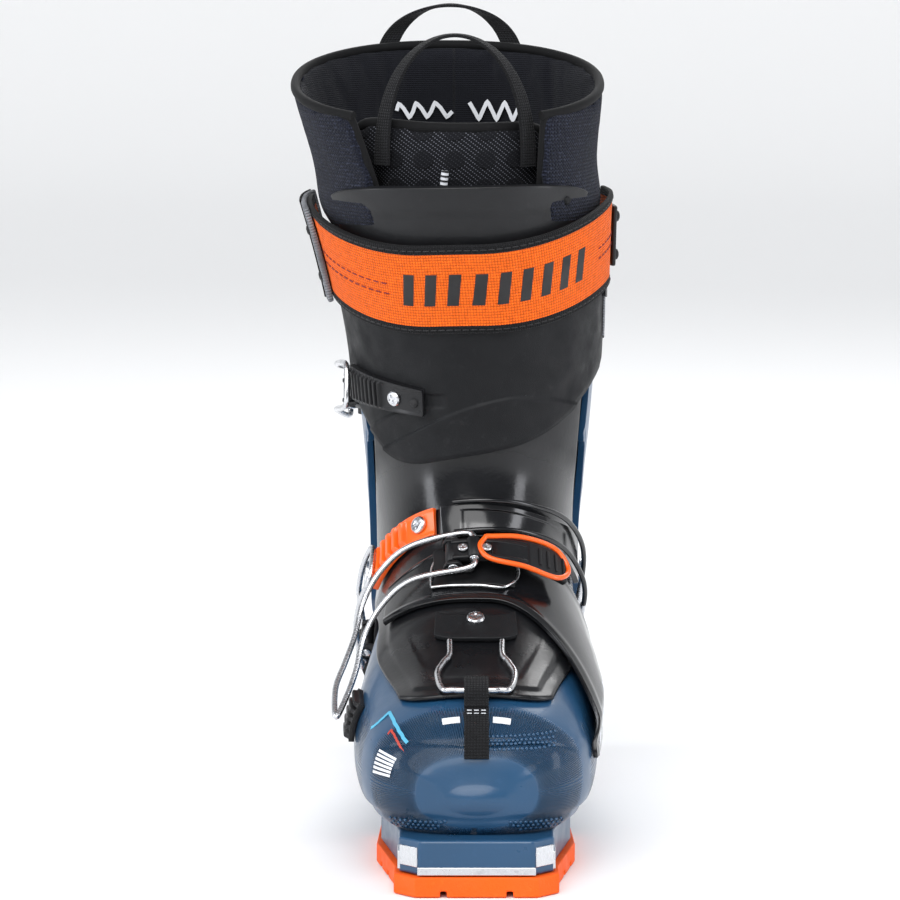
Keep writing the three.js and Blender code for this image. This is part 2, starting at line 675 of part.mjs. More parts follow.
function buckle({ name, place, pull, length, radius, hook }) {
  const group = seat(...place, pull);
  const cheek = leverWidth / 2 + 0.3;
  const wall = cheek + cheekThickness;
  add(`${name}_base`, join(
    box(-9, 9, -wall, wall, 0, 1.6),
    box(-4, 4, cheek, wall, 0.5, pinHeight + 3),
    box(-4, 4, -wall, -cheek, 0.5, pinHeight + 3),
    bar(pinRadius, 2 * wall - 0.4, 0, pinHeight),
  ), 'black', group);

  const centre = pinHeight + 0.6 - radius;
  const sweep = length / radius;
  const thick = 3.2;
  const arm = new THREE.Shape();
  arm.absarc(0, centre, radius + thick, Math.PI / 2, Math.PI / 2 + sweep, false);
  arm.absarc(0, centre, radius, Math.PI / 2 + sweep, Math.PI / 2, true);
  const upright = (geometry, width) => geometry.translate(0, 0, -width / 2).rotateX(Math.PI / 2);
  const armSolid = upright(slab(arm, 0, leverWidth, 10), leverWidth);
  const tipWidth = leverWidth + 5;
  const tip = new THREE.Shape();
  tip.absarc(0, centre, radius + thick + 0.6, Math.PI / 2 + sweep * 0.62, Math.PI / 2 + sweep * 1.06, false);
  tip.absarc(0, centre, radius + 0.4, Math.PI / 2 + sweep * 1.06, Math.PI / 2 + sweep * 0.62, true);
  const tipSolid = upright(slab(tip, 0, tipWidth, 6), tipWidth);
  const turn = bailReach / radius;
  const eye = new THREE.Vector2(-Math.sin(turn), Math.cos(turn)).multiplyScalar(radius + thick / 2 + 0.4);
  eye.y += centre;
  const lever = cut(
    join(armSolid, tipSolid, bar(hubRadius, leverWidth, 0, pinHeight), bar(3, leverWidth, eye.x, eye.y)),
    bar(pinRadius + 0.3, 40, 0, pinHeight),
    bar(eyeRadius, 40, eye.x, eye.y),
  );
  add(`${name}_lever`, lever, 'black', group);

  // The bail's two ends sit in the lever's eye; its legs run to the hook bar in the ladder.
  const inside = group.matrix.clone().invert();
  const side = bailSpread;
  const legs = route(hook, 5).map((p) => p.applyMatrix4(inside));
  const spread = (p, y) => new THREE.Vector3(p.x, p.y + y, p.z);
  const bend = 2;
  const points = [
    new THREE.Vector3(eye.x, 1, eye.y),
    new THREE.Vector3(eye.x, side - bend, eye.y),
    new THREE.Vector3(eye.x + bend, side, eye.y),
    ...legs.slice(0, -1).map((p) => spread(p, side)),
    spread(legs.at(-1), side - bend),
    spread(legs.at(-1), -side + bend),
    ...legs.slice(0, -1).reverse().map((p) => spread(p, -side)),
    new THREE.Vector3(eye.x + bend, -side, eye.y),
    new THREE.Vector3(eye.x, -side + bend, eye.y),
    new THREE.Vector3(eye.x, -1, eye.y),
  ];
  add(`${name}_bail`, wire(points, wireRadius, 40, 6), 'steel', group);
}

buckle({
  name: 'cuff', place: [14.35, -104, cuffOuter + fitGap], pull: 1, length: 30, radius: 52 * sideCurve,
  hook: [[14.35, -92, cuffOuter + 10], [14.32, -80, cuffOuter + 10], [14.28, -64, strapInner + 7]],
});
buckle({
  name: 'instep', place: [8.9, -88, shellWall + fitGap], pull: 1, length: 32, radius: 75 * sideCurve,
  hook: [[9.0, -76, shellWall + 11], [9.1, -66, shellWall + 11.5], [9.2, -54, instepInner + 6.2]],
});
buckle({
  name: 'forefoot', place: [7.15, -8, footStrapOuter + 1.2], pull: -1, length: 34, radius: 60,
  hook: [[6.9, -24, footStrapOuter + 9], [6.3, -44, footStrapOuter + 7], [5.3, -60, shellWall + 8.6], [4.6, -72, shellWall + 10.6]],
});

// ---------------------------------------------------------------- instep wires on the inner side
const wireOffset = instepInner + 2.4 + fitGap + 1.5;
function strapWire(name, places) {
  add(name, wire(route(places, 12), 1.2, 16, 6), 'black');
}
const anchorTop = shellWall + fitGap + 2.4;
const anchorTurn = 84;
add('instep_wire_anchor', plate(
  (a, b) => [mix(8.95, 10.15, a), mix(anchorTurn - 5, anchorTurn + 4, b)],
  shellWall + fitGap, anchorTop, 5, 3,
), 'black');
const anchorOffset = anchorTop + fitGap + 1.2;
strapWire('instep_wire_upper', [
  [10.3, -8, wireOffset], [10.45, 20, wireOffset], [10.8, 50, wireOffset], [10.6, 70, wireOffset],
  [9.95, anchorTurn, anchorOffset],
]);
strapWire('instep_wire_lower', [
  [8.6, -8, wireOffset], [8.9, 25, wireOffset], [9.3, 52, wireOffset], [9.3, 70, wireOffset],
  [9.15, anchorTurn, anchorOffset],
]);

// ---------------------------------------------------------------- walk lever and rear spine
const spineHalf = 11;
const spineInner = cuffOuter + fitGap;
add('rear_spine', plate(
  (a, b) => [mix(12.95, 16.2, a), 180 + mix(-1, 1, b) * (spineHalf + 3 * a)],
  spineInner, spineInner + 2.6, 10, 4,
), 'black');
const walkSeat = seat(15.1, 180, spineInner + 2.6 + fitGap, 1, 90);
add('walk_lever_base', join(
  box(-7, 7, -10.5, 10.5, 0, 1.6),
  box(-4, 4, 8.3, 10.5, 0.5, 8),
  box(-4, 4, -10.5, -8.3, 0.5, 8),
  bar(pinRadius, 20.6, 0, 5),
), 'black', walkSeat);
const walkWidth = 16;
add('walk_lever', cut(
  join(
    box(-2, 46, -walkWidth / 2, walkWidth / 2, 5.6, 8.6),
    box(40, 50, -walkWidth / 2 + 2, walkWidth / 2 - 2, 5.6, 10),
    bar(hubRadius, walkWidth, 0, 5),
  ),
  bar(pinRadius + 0.3, 40, 0, 5),
), 'steel', walkSeat);

export default boot;
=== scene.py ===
# %% [markdown]
# # A touring ski boot, dressed in Blender
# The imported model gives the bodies, the joints and the plain solids. Here each solid gets its real
# surface: moulded plastic, webbing, knit, rubber and steel. We load the frame first and keep its box,
# because nothing we add may make the boot bigger than the model.

# %% load the frame
import math
import bmesh
import bpy
import numpy as np
from mathutils import Matrix, Vector


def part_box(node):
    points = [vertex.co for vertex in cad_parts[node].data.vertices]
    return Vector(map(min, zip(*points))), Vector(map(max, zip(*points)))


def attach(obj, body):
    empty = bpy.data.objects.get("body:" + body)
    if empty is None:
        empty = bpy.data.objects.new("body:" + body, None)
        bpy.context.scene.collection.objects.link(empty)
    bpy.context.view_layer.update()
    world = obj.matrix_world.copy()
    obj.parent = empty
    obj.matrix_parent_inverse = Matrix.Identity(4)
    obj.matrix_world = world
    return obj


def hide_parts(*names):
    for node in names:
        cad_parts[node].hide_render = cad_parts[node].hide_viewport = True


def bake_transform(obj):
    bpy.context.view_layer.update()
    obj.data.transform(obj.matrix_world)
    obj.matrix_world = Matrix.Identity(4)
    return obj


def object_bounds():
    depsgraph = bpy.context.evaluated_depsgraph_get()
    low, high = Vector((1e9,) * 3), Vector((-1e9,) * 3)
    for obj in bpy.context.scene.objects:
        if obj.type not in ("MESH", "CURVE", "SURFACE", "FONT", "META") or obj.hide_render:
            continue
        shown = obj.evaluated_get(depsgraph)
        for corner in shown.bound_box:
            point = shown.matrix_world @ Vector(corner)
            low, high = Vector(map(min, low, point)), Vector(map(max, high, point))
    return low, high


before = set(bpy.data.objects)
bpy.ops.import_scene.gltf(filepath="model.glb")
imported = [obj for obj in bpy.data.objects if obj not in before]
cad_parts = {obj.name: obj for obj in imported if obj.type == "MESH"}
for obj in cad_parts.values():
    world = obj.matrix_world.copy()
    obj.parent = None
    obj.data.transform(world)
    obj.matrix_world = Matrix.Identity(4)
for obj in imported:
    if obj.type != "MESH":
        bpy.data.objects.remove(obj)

cad_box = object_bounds()
scene = bpy.context.scene
toe_low, toe_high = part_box("toe_sole")
heel_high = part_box("heel_sole")[1]
FOOT_X = (toe_low[0] + toe_high[0]) / 2
TOE_Y = toe_low[1]
HEEL_Y = heel_high[1]
print("foot axis at x", round(FOOT_X, 4), "sole length", round(HEEL_Y - TOE_Y, 4))

# %% [markdown]
# ## The last
# A boot is built round a last, the shape of foot and leg. Ours is a row of sections from the toe tip to
# the collar. Between them we read a smooth curve, so any place on the boot has an address: u, the place
# along the row, and turn, the angle round from the front line. A plate of plastic is then a patch of
# addresses at some distance off the last. We work the whole grid at once with numpy, which is fast.
# Each row: top y, top z, under y, under z, half width, height of the widest point as a share, how
# square the top and the underside are, and the sideways lean. Lengths are millimetres.

# %% the last as a function
MM = 0.001
STATIONS = np.array([
    [-140, 45, -140, 35, 12, 0.50, 2.2, 2.2, 0],
    [-136, 60, -137, 28, 28, 0.48, 2.3, 2.6, 0],
    [-126, 69, -128, 24, 38, 0.46, 2.4, 2.9, 0],
    [-109, 75, -111, 23, 45, 0.45, 2.5, 3.0, 0],
    [-87, 81, -87, 23, 48, 0.43, 2.5, 3.0, 0],
    [-64, 90, -58, 23, 49, 0.41, 2.5, 3.0, 0],
    [-42, 101, -28, 24, 47, 0.40, 2.4, 2.8, 0],
    [-24, 112, 8, 25, 44, 0.40, 2.3, 2.6, 0],
    [-13, 122, 48, 27, 41, 0.42, 2.2, 2.5, 0],
    [-6, 132, 90, 29, 39.5, 0.43, 2.2, 2.4, 0],
    [-2, 142, 128, 33, 39, 0.44, 2.2, 2.3, 0],
    [0, 152, 142, 58, 39, 0.46, 2.2, 2.2, 0],
    [1, 164, 140, 90, 39.5, 0.48, 2.2, 2.2, 0],
    [0, 180, 130, 125, 41.5, 0.50, 2.2, 2.2, 0.5],
    [-4, 201, 121, 160, 44, 0.50, 2.2, 2.2, 0.5],
    [-10, 227, 114, 200, 46.5, 0.50, 2.2, 2.2, 0],
    [-17, 255, 107, 240, 50, 0.50, 2.2, 2.2, -3],
    [-24, 283, 101, 280, 55, 0.50, 2.2, 2.2, -7],
    [-28, 306, 97, 318, 62, 0.50, 2.2, 2.2, -10.5],
    [-28, 318, 96, 345, 67, 0.50, 2.2, 2.2, -12.5],
], float)


def ease(x, low, high):
    """0 below low, 1 above high and smooth between them."""
    t = np.clip((np.asarray(x, float) - low) / (high - low), 0, 1)
    return t * t * (3 - 2 * t)


def station(u):
    count = len(STATIONS)
    i = np.clip(np.floor(u).astype(int), 0, count - 2)
    f = (u - i)[..., None]
    b, c = STATIONS[i], STATIONS[i + 1]
    a = np.where((i > 0)[..., None], STATIONS[np.maximum(i - 1, 0)], 2 * b - c)
    d = np.where((i < count - 2)[..., None], STATIONS[np.minimum(i + 2, count - 1)], 2 * c - b)
    return b + 0.5 * f * (c - a + f * (2 * a - 5 * b + 4 * c - d + f * (3 * (b - c) + d - a)))


def skin(u, turn):
    u, turn = np.broadcast_arrays(np.asarray(u, float), np.asarray(turn, float))
    ty, tz, uy, uz, half, wide, crown, base, lean = np.moveaxis(station(u), -1, 0)
    c, s = np.cos(np.radians(turn)), np.sin(np.radians(turn))
    power = 2 / np.where(c >= 0, crown, base)
    lift = np.abs(c) ** power
    rise = np.where(c >= 0, wide + (1 - wide) * lift, wide - wide * lift)
    x = half * np.sign(s) * np.abs(s) ** power + lean
    return np.stack([x, uy + (ty - uy) * rise, uz + (tz - uz) * rise], -1)


def outward(u, turn):
    along = skin(np.asarray(u, float) + 0.05, turn) - skin(np.maximum(np.asarray(u, float) - 0.05, 0), turn)
    around = skin(u, np.asarray(turn, float) + 2) - skin(u, np.asarray(turn, float) - 2)
    normal = np.cross(around, along)
    return normal / np.maximum(np.linalg.norm(normal, axis=-1, keepdims=True), 1e-9)


def proud(u, turn, off):
    """Points in metres, off millimetres outside the last."""
    points = skin(u, turn) + outward(u, turn) * np.asarray(off, float)[..., None]
    return points * MM + np.array([FOOT_X, 0, 0])


reach = proud(np.array([0.0, 19.0]), np.array([0.0, 180.0]), np.zeros(2))
print("last from toe", reach[0].round(3), "to collar", reach[1].round(3))

# %% [markdown]
# ## Mesh helpers
# Every curved piece is a grid of quads with an outer and an inner face and a rim between them. Its UV map
# is in metres along the surface, so a weave keeps its real size, and two attributes, place and turn, say
# where on the last a point lies, so a material can change along the boot. A small bevel rounds the rims,
# because light catches an edge before it catches a face.

# %% grids, tubes and outlines
def mesh_object(name, verts, faces, uv=None, attributes=None):
    mesh = bpy.data.meshes.new(name)
    mesh.from_pydata([tuple(v) for v in verts], [], [tuple(int(k) for k in f) for f in faces])
    for key, values in (attributes or {}).items():
        layer = mesh.attributes.new(key, "FLOAT", "POINT")
        layer.data.foreach_set("value", np.asarray(values, np.float32))
    if uv is not None:
        layer = mesh.uv_layers.new(name="UVMap")
        corner = np.zeros(len(mesh.loops), int)
        mesh.loops.foreach_get("vertex_index", corner)
        layer.data.foreach_set("uv", np.asarray(uv, np.float32)[corner].ravel())
    mesh.validate()
    obj = bpy.data.objects.new(name, mesh)
    scene.collection.objects.link(obj)
    return obj


def outside_in(obj, merge=1e-6):
    """Merges doubles and turns the faces of a closed mesh outwards."""
    bm = bmesh.new()
    bm.from_mesh(obj.data)
    bmesh.ops.remove_doubles(bm, verts=bm.verts, dist=merge)
    bmesh.ops.recalc_face_normals(bm, faces=bm.faces)
    bm.to_mesh(obj.data)
    bm.free()
    return obj


def smooth(obj, bevel=0.0, segments=2, angle=40, subdivide=0):
    """Shades smooth, with rounded edges where the surface turns sharply."""
    obj.data.polygons.foreach_set("use_smooth", [True] * len(obj.data.polygons))
    if bevel:
        rounding = obj.modifiers.new("rounding", "BEVEL")
        rounding.width = bevel
        rounding.segments = segments
        rounding.limit_method = "ANGLE"
        rounding.angle_limit = math.radians(angle)
    if subdivide:
        finer = obj.modifiers.new("finer", "SUBSURF")
        finer.levels = subdivide
        finer.render_levels = subdivide
    shading = obj.modifiers.new("shading", "WEIGHTED_NORMAL")
    shading.keep_sharp = True
    return obj


def patch(name, place, inner, outer, na, nb, bevel=0.5, ring=False, edit=None):
    """A curved plate on the last. place(a, b) gives u and turn; inner and outer are offsets in
    millimetres, or functions of a, b, u and turn. edit changes the points of one face."""
    a, b = np.meshgrid(np.linspace(0, 1, na + 1), np.linspace(0, 1, nb + 1), indexing="ij")
    u, turn = place(a, b)
    u, turn = u + 0 * a, turn + 0 * a
    offs = [f(a, b, u, turn) if callable(f) else np.full_like(a, f) for f in (outer, inner)]
    top = proud(u, turn, offs[0])
    steps_b = np.linalg.norm(np.diff(top, axis=1), axis=-1)
    steps_a = np.linalg.norm(np.diff(top, axis=0), axis=-1)
    across = np.concatenate([np.zeros((na + 1, 1)), np.cumsum(steps_b, 1)], 1)
    across -= across[:, nb // 2:nb // 2 + 1]
    lengthwise = np.concatenate([np.zeros((1, nb + 1)), np.cumsum(steps_a, 0)], 0)
    uv = np.stack([across, lengthwise], -1).reshape(-1, 2)
    size = (na + 1) * (nb + 1)
    index = np.arange(size).reshape(na + 1, nb + 1)
    o, i = index, index + size
    quads = [np.stack([o[:-1, :-1], o[:-1, 1:], o[1:, 1:], o[1:, :-1]], -1).reshape(-1, 4)]
    quads.append(np.stack([i[:-1, :-1], i[1:, :-1], i[1:, 1:], i[:-1, 1:]], -1).reshape(-1, 4))
    quads.append(np.stack([o[0, :-1], i[0, :-1], i[0, 1:], o[0, 1:]], -1))
    quads.append(np.stack([o[-1, :-1], o[-1, 1:], i[-1, 1:], i[-1, :-1]], -1))
    if not ring:
        quads.append(np.stack([o[:-1, 0], o[1:, 0], i[1:, 0], i[:-1, 0]], -1))
        quads.append(np.stack([o[:-1, -1], i[:-1, -1], i[1:, -1], o[1:, -1]], -1))
    under = proud(u, turn, offs[1])
    if edit is not None:
        top, under = edit(top, 1), edit(under, 0)
    verts = np.concatenate([top.reshape(-1, 3), under.reshape(-1, 3)])
    values = {"place": u, "turn": turn, "across": 2 * a - 1}
    obj = mesh_object(name, verts, np.concatenate(quads), np.concatenate([uv, uv]),
                      {key: np.tile(value.ravel(), 2) for key, value in values.items()})
    outside_in(obj)
    return smooth(obj, bevel * MM)


def prism(name, outline, low, high, bevel=0.6, matrix=None, segments=2):
    """An outline in x and y, in millimetres, made thick from low to high and rounded."""
    count = len(outline)
    verts = [(x * MM, y * MM, z * MM) for z in (low, high) for x, y in outline]
    faces = [list(range(count))[::-1], list(range(count, 2 * count))]
    faces += [[k, (k + 1) % count, count + (k + 1) % count, count + k] for k in range(count)]
    obj = mesh_object(name, verts, faces)
    outside_in(obj)
    if matrix is not None:
        obj.data.transform(matrix)
    return smooth(obj, bevel * MM, segments, 30)


def seat(u, turn, off, pull=1, spin=0.0):
    """A place on the last as a matrix: z points out of the boot, x round it."""
    z = Vector(outward(u, turn))
    around = Vector(skin(u, turn + 1) - skin(u, turn - 1)) * pull
    x = (around - z * around.dot(z)).normalized()
    x.rotate(Matrix.Rotation(math.radians(spin), 3, z))
    y = z.cross(x)
    rows = [[x[k], y[k], z[k], float(proud(u, turn, off)[k])] for k in range(3)]
    return Matrix(rows + [[0, 0, 0, 1]])


def joined(name, objects):
    """Bakes the modifiers of several objects and makes one mesh of them, each with its materials."""
    bm = bmesh.new()
    mesh = bpy.data.meshes.new(name)
    graph = bpy.context.evaluated_depsgraph_get()
    for obj in objects:
        baked = bpy.data.meshes.new_from_object(obj.evaluated_get(graph))
        baked.transform(obj.matrix_world)
        slots = []
        for material in baked.materials:
            if mesh.materials.find(material.name) < 0:
                mesh.materials.append(material)
            slots.append(mesh.materials.find(material.name))
        start = len(bm.faces)
        bm.from_mesh(baked)
        bm.faces.ensure_lookup_table()
        for face in bm.faces[start:]:
            face.material_index = slots[face.material_index] if slots else 0
        bpy.data.meshes.remove(baked)
    bm.to_mesh(mesh)
    bm.free()
    for obj in objects:
        bpy.data.objects.remove(obj)
    result = bpy.data.objects.new(name, mesh)
    result.name = name
    scene.collection.objects.link(result)
    return result


print("helpers ready")

# %% [markdown]
# ## Finishes
# A finish is a node tree: a colour with a little variation, a roughness that is not even, and a bump of
# the right size. To keep the trees short we wrap them in a small maker that adds a node, sets its inputs
# and links what is already a socket.

# %% a small maker of node trees
class Finish:
    def __init__(self, name, colour, roughness=0.5, metallic=0.0):
        self.mat = bpy.data.materials.new(name)
        self.mat.use_nodes = True
        self.tree = self.mat.node_tree
        self.shader = self.tree.nodes["Principled BSDF"]
        self.set(self.shader, "Base Color", (*colour, 1))
        self.set(self.shader, "Roughness", roughness)
        self.set(self.shader, "Metallic", metallic)

    def set(self, node, key, value):
        socket = node.inputs[key]
        if isinstance(value, bpy.types.NodeSocket):
            self.tree.links.new(value, socket)
        else:
            socket.default_value = value

    def node(self, kind, out=0, settings=None, **inputs):
        node = self.tree.nodes.new(kind)
        for key, value in (settings or {}).items():
            setattr(node, key, value)
        for key, value in inputs.items():
            self.set(node, int(key[1:]) if key[0] == "_" else key.replace("_", " "), value)
        return node.outputs[out]

    def math(self, operation, a, b=0.0, c=0.0):
        return self.node("ShaderNodeMath", settings={"operation": operation}, _0=a, _1=b, _2=c)

    def place(self):
        return self.node("ShaderNodeTexCoord", out="Object")

    def uv(self):
        return self.node("ShaderNodeTexCoord", out="UV")

    def attribute(self, name):
        return self.node("ShaderNodeAttribute", out="Fac", settings={"attribute_name": name})

    def noise(self, scale, detail=3.0, vector=None):
        return self.node("ShaderNodeTexNoise", Vector=vector or self.place(), Scale=scale, Detail=detail)

    def spread(self, value, low, high, to_low=0.0, to_high=1.0):
        return self.node("ShaderNodeMapRange", _0=value, _1=low, _2=high, _3=to_low, _4=to_high)

    def blend(self, factor, a, b):
        node = self.tree.nodes.new("ShaderNodeMix")
        node.data_type = "RGBA"
        self.set(node, 0, factor)
        self.set(node, 6, (*a, 1) if isinstance(a, tuple) else a)
        self.set(node, 7, (*b, 1) if isinstance(b, tuple) else b)
        return node.outputs[2]

    def colour(self, value):
        self.set(self.shader, "Base Color", value)

    def rough(self, value):
        self.set(self.shader, "Roughness", value)

    def bump(self, height, distance, strength=1.0):
        node = self.tree.nodes.new("ShaderNodeBump")
        self.set(node, "Height", height)
        node.inputs["Distance"].default_value = distance
        node.inputs["Strength"].default_value = strength
        for link in list(self.shader.inputs["Normal"].links):
            self.tree.links.new(link.from_socket, node.inputs["Normal"])
        self.tree.links.new(node.outputs[0], self.shader.inputs["Normal"])

    def wear(self, colour, amount):
        """Scuffs where fine noise runs high."""
        scuff = self.spread(self.noise(260, 6), 0.62, 0.72, 0, amount)
        base = self.shader.inputs["Base Color"]
        under = base.links[0].from_socket if base.links else tuple(base.default_value)[:3]
        self.colour(self.blend(scuff, under, colour))


# %% [markdown]
# Moulded plastic is even in colour, so its life is in the surface: a faint orange-peel from the mould, a
# gloss that varies with handling, and fine scuffs. The same recipe serves all the plastics, with other
# numbers. Steel is drawn wire or stamped sheet, with a grain along one direction.

# %% plastics, rubber and steel
def plastic(name, colour, rough, coat=0.0, peel=0.00005, grain=900, scuffs=0.15, shine=0.5):
    f = Finish(name, colour)
    f.set(f.shader, "Specular IOR Level", shine)
    tone = f.spread(f.noise(14, 2), 0.35, 0.65, 0.9, 1.1)
    shade = f.node("ShaderNodeVectorMath", settings={"operation": "SCALE"}, _0=colour, Scale=tone)
    f.colour(shade)
    f.rough(f.spread(f.noise(90, 5), 0.3, 0.7, rough * 0.8, min(rough * 1.25, 1)))
    f.set(f.shader, "Coat Weight", coat)
    f.set(f.shader, "Coat Roughness", 0.12)
    f.bump(f.noise(grain, 2), peel)
    f.wear(tuple(min(1, c * 2.2 + 0.03) for c in colour), scuffs)
    return f


def steel(name, colour=(0.66, 0.67, 0.69), rough=0.24):
    f = Finish(name, colour, rough, 1.0)
    stretched = f.node("ShaderNodeMapping", Vector=f.place(), Scale=(300, 2600, 300))
    grain = f.noise(1.0, 4, stretched)
    f.rough(f.spread(grain, 0.3, 0.7, rough * 0.75, rough * 1.4))
    f.bump(grain, 0.00002)
    f.wear((0.3, 0.3, 0.31), 0.35)
    return f


BLACK = (0.007, 0.0073, 0.0085)
satin_black = plastic("satin_black_plastic", BLACK, 0.42, 0.03, scuffs=0.15, shine=0.32)
gloss_black = plastic("gloss_black_plastic", (0.005, 0.0053, 0.0065), 0.17, 0.3, 0.00003, 500, 0.06, 0.4)
matte_black = plastic("matte_black_plastic", (0.0075, 0.008, 0.0092), 0.56, 0.0, 0.00012, 2600, 0.12, 0.2)
orange_plastic = plastic("orange_plastic", (0.95, 0.115, 0.004), 0.34, 0.2, 0.00004, 700, 0.04)
sole_orange = plastic("orange_sole_rubber", (0.95, 0.11, 0.004), 0.62, 0.0, 0.00018, 1500, 0.12, 0.3)
board_grey = plastic("grey_board_foam", (0.05, 0.055, 0.06), 0.9, 0.0, 0.0003, 900, 0.1)
bright_steel = steel("bright_steel")
print("plain finishes", len(bpy.data.materials))

# %% [markdown]
# The shell blue needs three patterns: fine upright ribs on the toe, a slight mottling where light comes
# through the plastic, and a gloss coat. The ribs follow the turn attribute, so they fan out with the toe.

# %% shell blue
def shell_blue():
    f = plastic("deep_blue_shell", (0.0135, 0.062, 0.138), 0.33, 0.25, 0.00004, 700, 0.06, 0.42)
    place, turn = f.attribute("place"), f.attribute("turn")
    ribs = f.math("SINE", f.math("MULTIPLY", turn, 2 * math.pi / 1.5))
    front = f.math("MULTIPLY", f.spread(place, 0.75, 1.0), f.spread(place, 2.45, 2.2))
    sides = f.math("MULTIPLY", f.spread(place, 3.0, 3.2), f.spread(place, 4.6, 4.3))
    low = f.spread(f.math("ABSOLUTE", turn), 60, 72)
    share = f.math("ADD", front, f.math("MULTIPLY", sides, low))
    f.bump(f.math("MULTIPLY", ribs, share), 0.0006)
    return f


blue = shell_blue()


# %% [markdown]
# Cloth is a bump and a colour that go together. A woven strap is a grid of small raised squares, each a
# crossing of two yarns. Knit is rows of leaning loops, and the tongue's mesh is a diagonal twill over dark
# padded dots. All of them read the UV map, which is in metres, so a yarn stays a real yarn.

# %% woven and knitted finishes
def woven(name, colour, yarn, dark=0.35, edge=None, edge_at=None):
    """A plain weave with that yarn width in metres, painted down to dark times its colour in the low gaps as
    painted shade; edge colours what lies past edge_at.
    """
    f = Finish(name, colour, 0.82)
    f.set(f.shader, "Specular IOR Level", 0.2)
    f.set(f.shader, "Sheen Weight", 0.04)
    split = f.tree.nodes.new("ShaderNodeSeparateXYZ")
    f.tree.links.new(f.uv(), split.inputs[0])
    warp = f.math("MULTIPLY", split.outputs[0], math.pi / yarn)
    weft = f.math("MULTIPLY", split.outputs[1], math.pi / yarn)
    over = f.math("MULTIPLY", f.math("SINE", warp), f.math("SINE", weft))
    height = f.math("ABSOLUTE", over)
    # Painted shade: the colour falls towards dark in the low gaps between the yarn crossings, and 1.08 on
    # their tops is a faint painted highlight.
    shade = f.spread(height, 0.0, 0.75, dark, 1.08)
    fuzz = f.spread(f.noise(420, 5), 0.3, 0.7, 0.85, 1.12)
    tone = f.math("MULTIPLY", shade, fuzz)
    base = colour
    if edge is not None:
        away = f.math("ABSOLUTE", f.attribute("across"))
        base = f.blend(f.spread(away, edge_at - 0.012, edge_at), colour, edge)
    f.colour(f.node("ShaderNodeVectorMath", settings={"operation": "SCALE"}, _0=base, Scale=tone))
    f.bump(height, yarn * 0.35)
    return f


def knit(name, colour, fleck, wale, share=0.35):
    """Knit with that wale width in metres, with a lighter fleck through it."""
    f = Finish(name, colour, 0.92)
    f.set(f.shader, "Specular IOR Level", 0.15)
    f.set(f.shader, "Sheen Weight", 0.06)
    split = f.tree.nodes.new("ShaderNodeSeparateXYZ")
    f.tree.links.new(f.uv(), split.inputs[0])
    column = f.math("MULTIPLY", split.outputs[0], 2 * math.pi / wale)
    lean = f.math("MULTIPLY", f.math("ABSOLUTE", f.math("SINE", f.math("MULTIPLY", column, 0.5))), 1.6)
    row = f.math("SINE", f.math("ADD", f.math("MULTIPLY", split.outputs[1], 2 * math.pi / wale), lean))
    height = f.math("MULTIPLY", f.math("ADD", f.math("ABSOLUTE", f.math("SINE", column)), row), 0.5)
    flecks = f.spread(f.noise(900, 4), 0.5, 0.62, 0, share)
    # The lighter fleck is the heathered yarn's own colour; fading it out towards the low places between the
    # loops is painted shade.
    f.colour(f.blend(f.math("MULTIPLY", flecks, f.spread(height, -0.2, 0.7)), colour, fleck))
    f.bump(height, wale * 0.3)
    f.bump(f.noise(70, 3), 0.0004)
    return f


liner_knit = knit("heathered_liner_knit", (0.0065, 0.008, 0.0155), (0.05, 0.06, 0.1), 0.0016, 0.5)
neoprene = knit("smooth_liner_lining", (0.0085, 0.0095, 0.0135), (0.02, 0.022, 0.03), 0.0009, 0.2)
hem_black = woven("black_hem_tape", (0.0075, 0.0078, 0.009), 0.0011, 0.5)
black_webbing = woven("black_pull_webbing", (0.009, 0.0095, 0.011), 0.0013, 0.4)
grey_webbing = woven("grey_strap_webbing", (0.25, 0.26, 0.28), 0.0013, 0.5)
orange_webbing = woven("orange_strap_webbing", (1.0, 0.15, 0.008), 0.0013, 0.55)
thread_red = plastic("dark_red_thread", (0.19, 0.012, 0.012), 0.7)
thread_white = plastic("white_thread", (0.72, 0.74, 0.78), 0.7)
ink_black = plastic("black_print", (0.008, 0.008, 0.009), 0.6)
ink_white = plastic("white_print", (0.78, 0.8, 0.84), 0.5)
ink_cyan = plastic("cyan_print", (0.09, 0.42, 0.62), 0.5)
ink_red = plastic("red_print", (0.5, 0.05, 0.03), 0.5)


def tongue_mesh():
    f = Finish("dotted_tongue_mesh", (0.0075, 0.008, 0.0105), 0.9)
    f.set(f.shader, "Specular IOR Level", 0.15)
    f.set(f.shader, "Sheen Weight", 0.05)
    split = f.tree.nodes.new("ShaderNodeSeparateXYZ")
    f.tree.links.new(f.uv(), split.inputs[0])
    lines = f.math("SINE",
                   f.math("MULTIPLY", f.math("ADD", split.outputs[0], split.outputs[1]),
                          2 * math.pi / 0.0021))
    beads = f.math("SINE",
                   f.math("MULTIPLY", f.math("SUBTRACT", split.outputs[0], split.outputs[1]),
                          2 * math.pi / 0.0014))
    weave = f.math("MULTIPLY", f.spread(lines, 0.55, 0.8), f.spread(beads, 0.0, 0.5))
    cells = f.node("ShaderNodeTexVoronoi",
                   Vector=f.node("ShaderNodeMapping", Vector=f.uv(), Scale=(1, 0.87, 1)),
                   Scale=92.0, Randomness=0.0)
    dots = f.spread(cells, 0.36, 0.3)
    visible = f.math("MULTIPLY", weave, f.spread(dots, 0, 1, 0.75, 0.12))
    f.colour(f.blend(visible, (0.0055, 0.006, 0.008), (0.17, 0.18, 0.21)))
    f.bump(f.math("ADD", f.math("MULTIPLY", weave, 0.3), dots), 0.0006)
    return f


dotted_mesh = tongue_mesh()
print("finishes", len(bpy.data.materials))
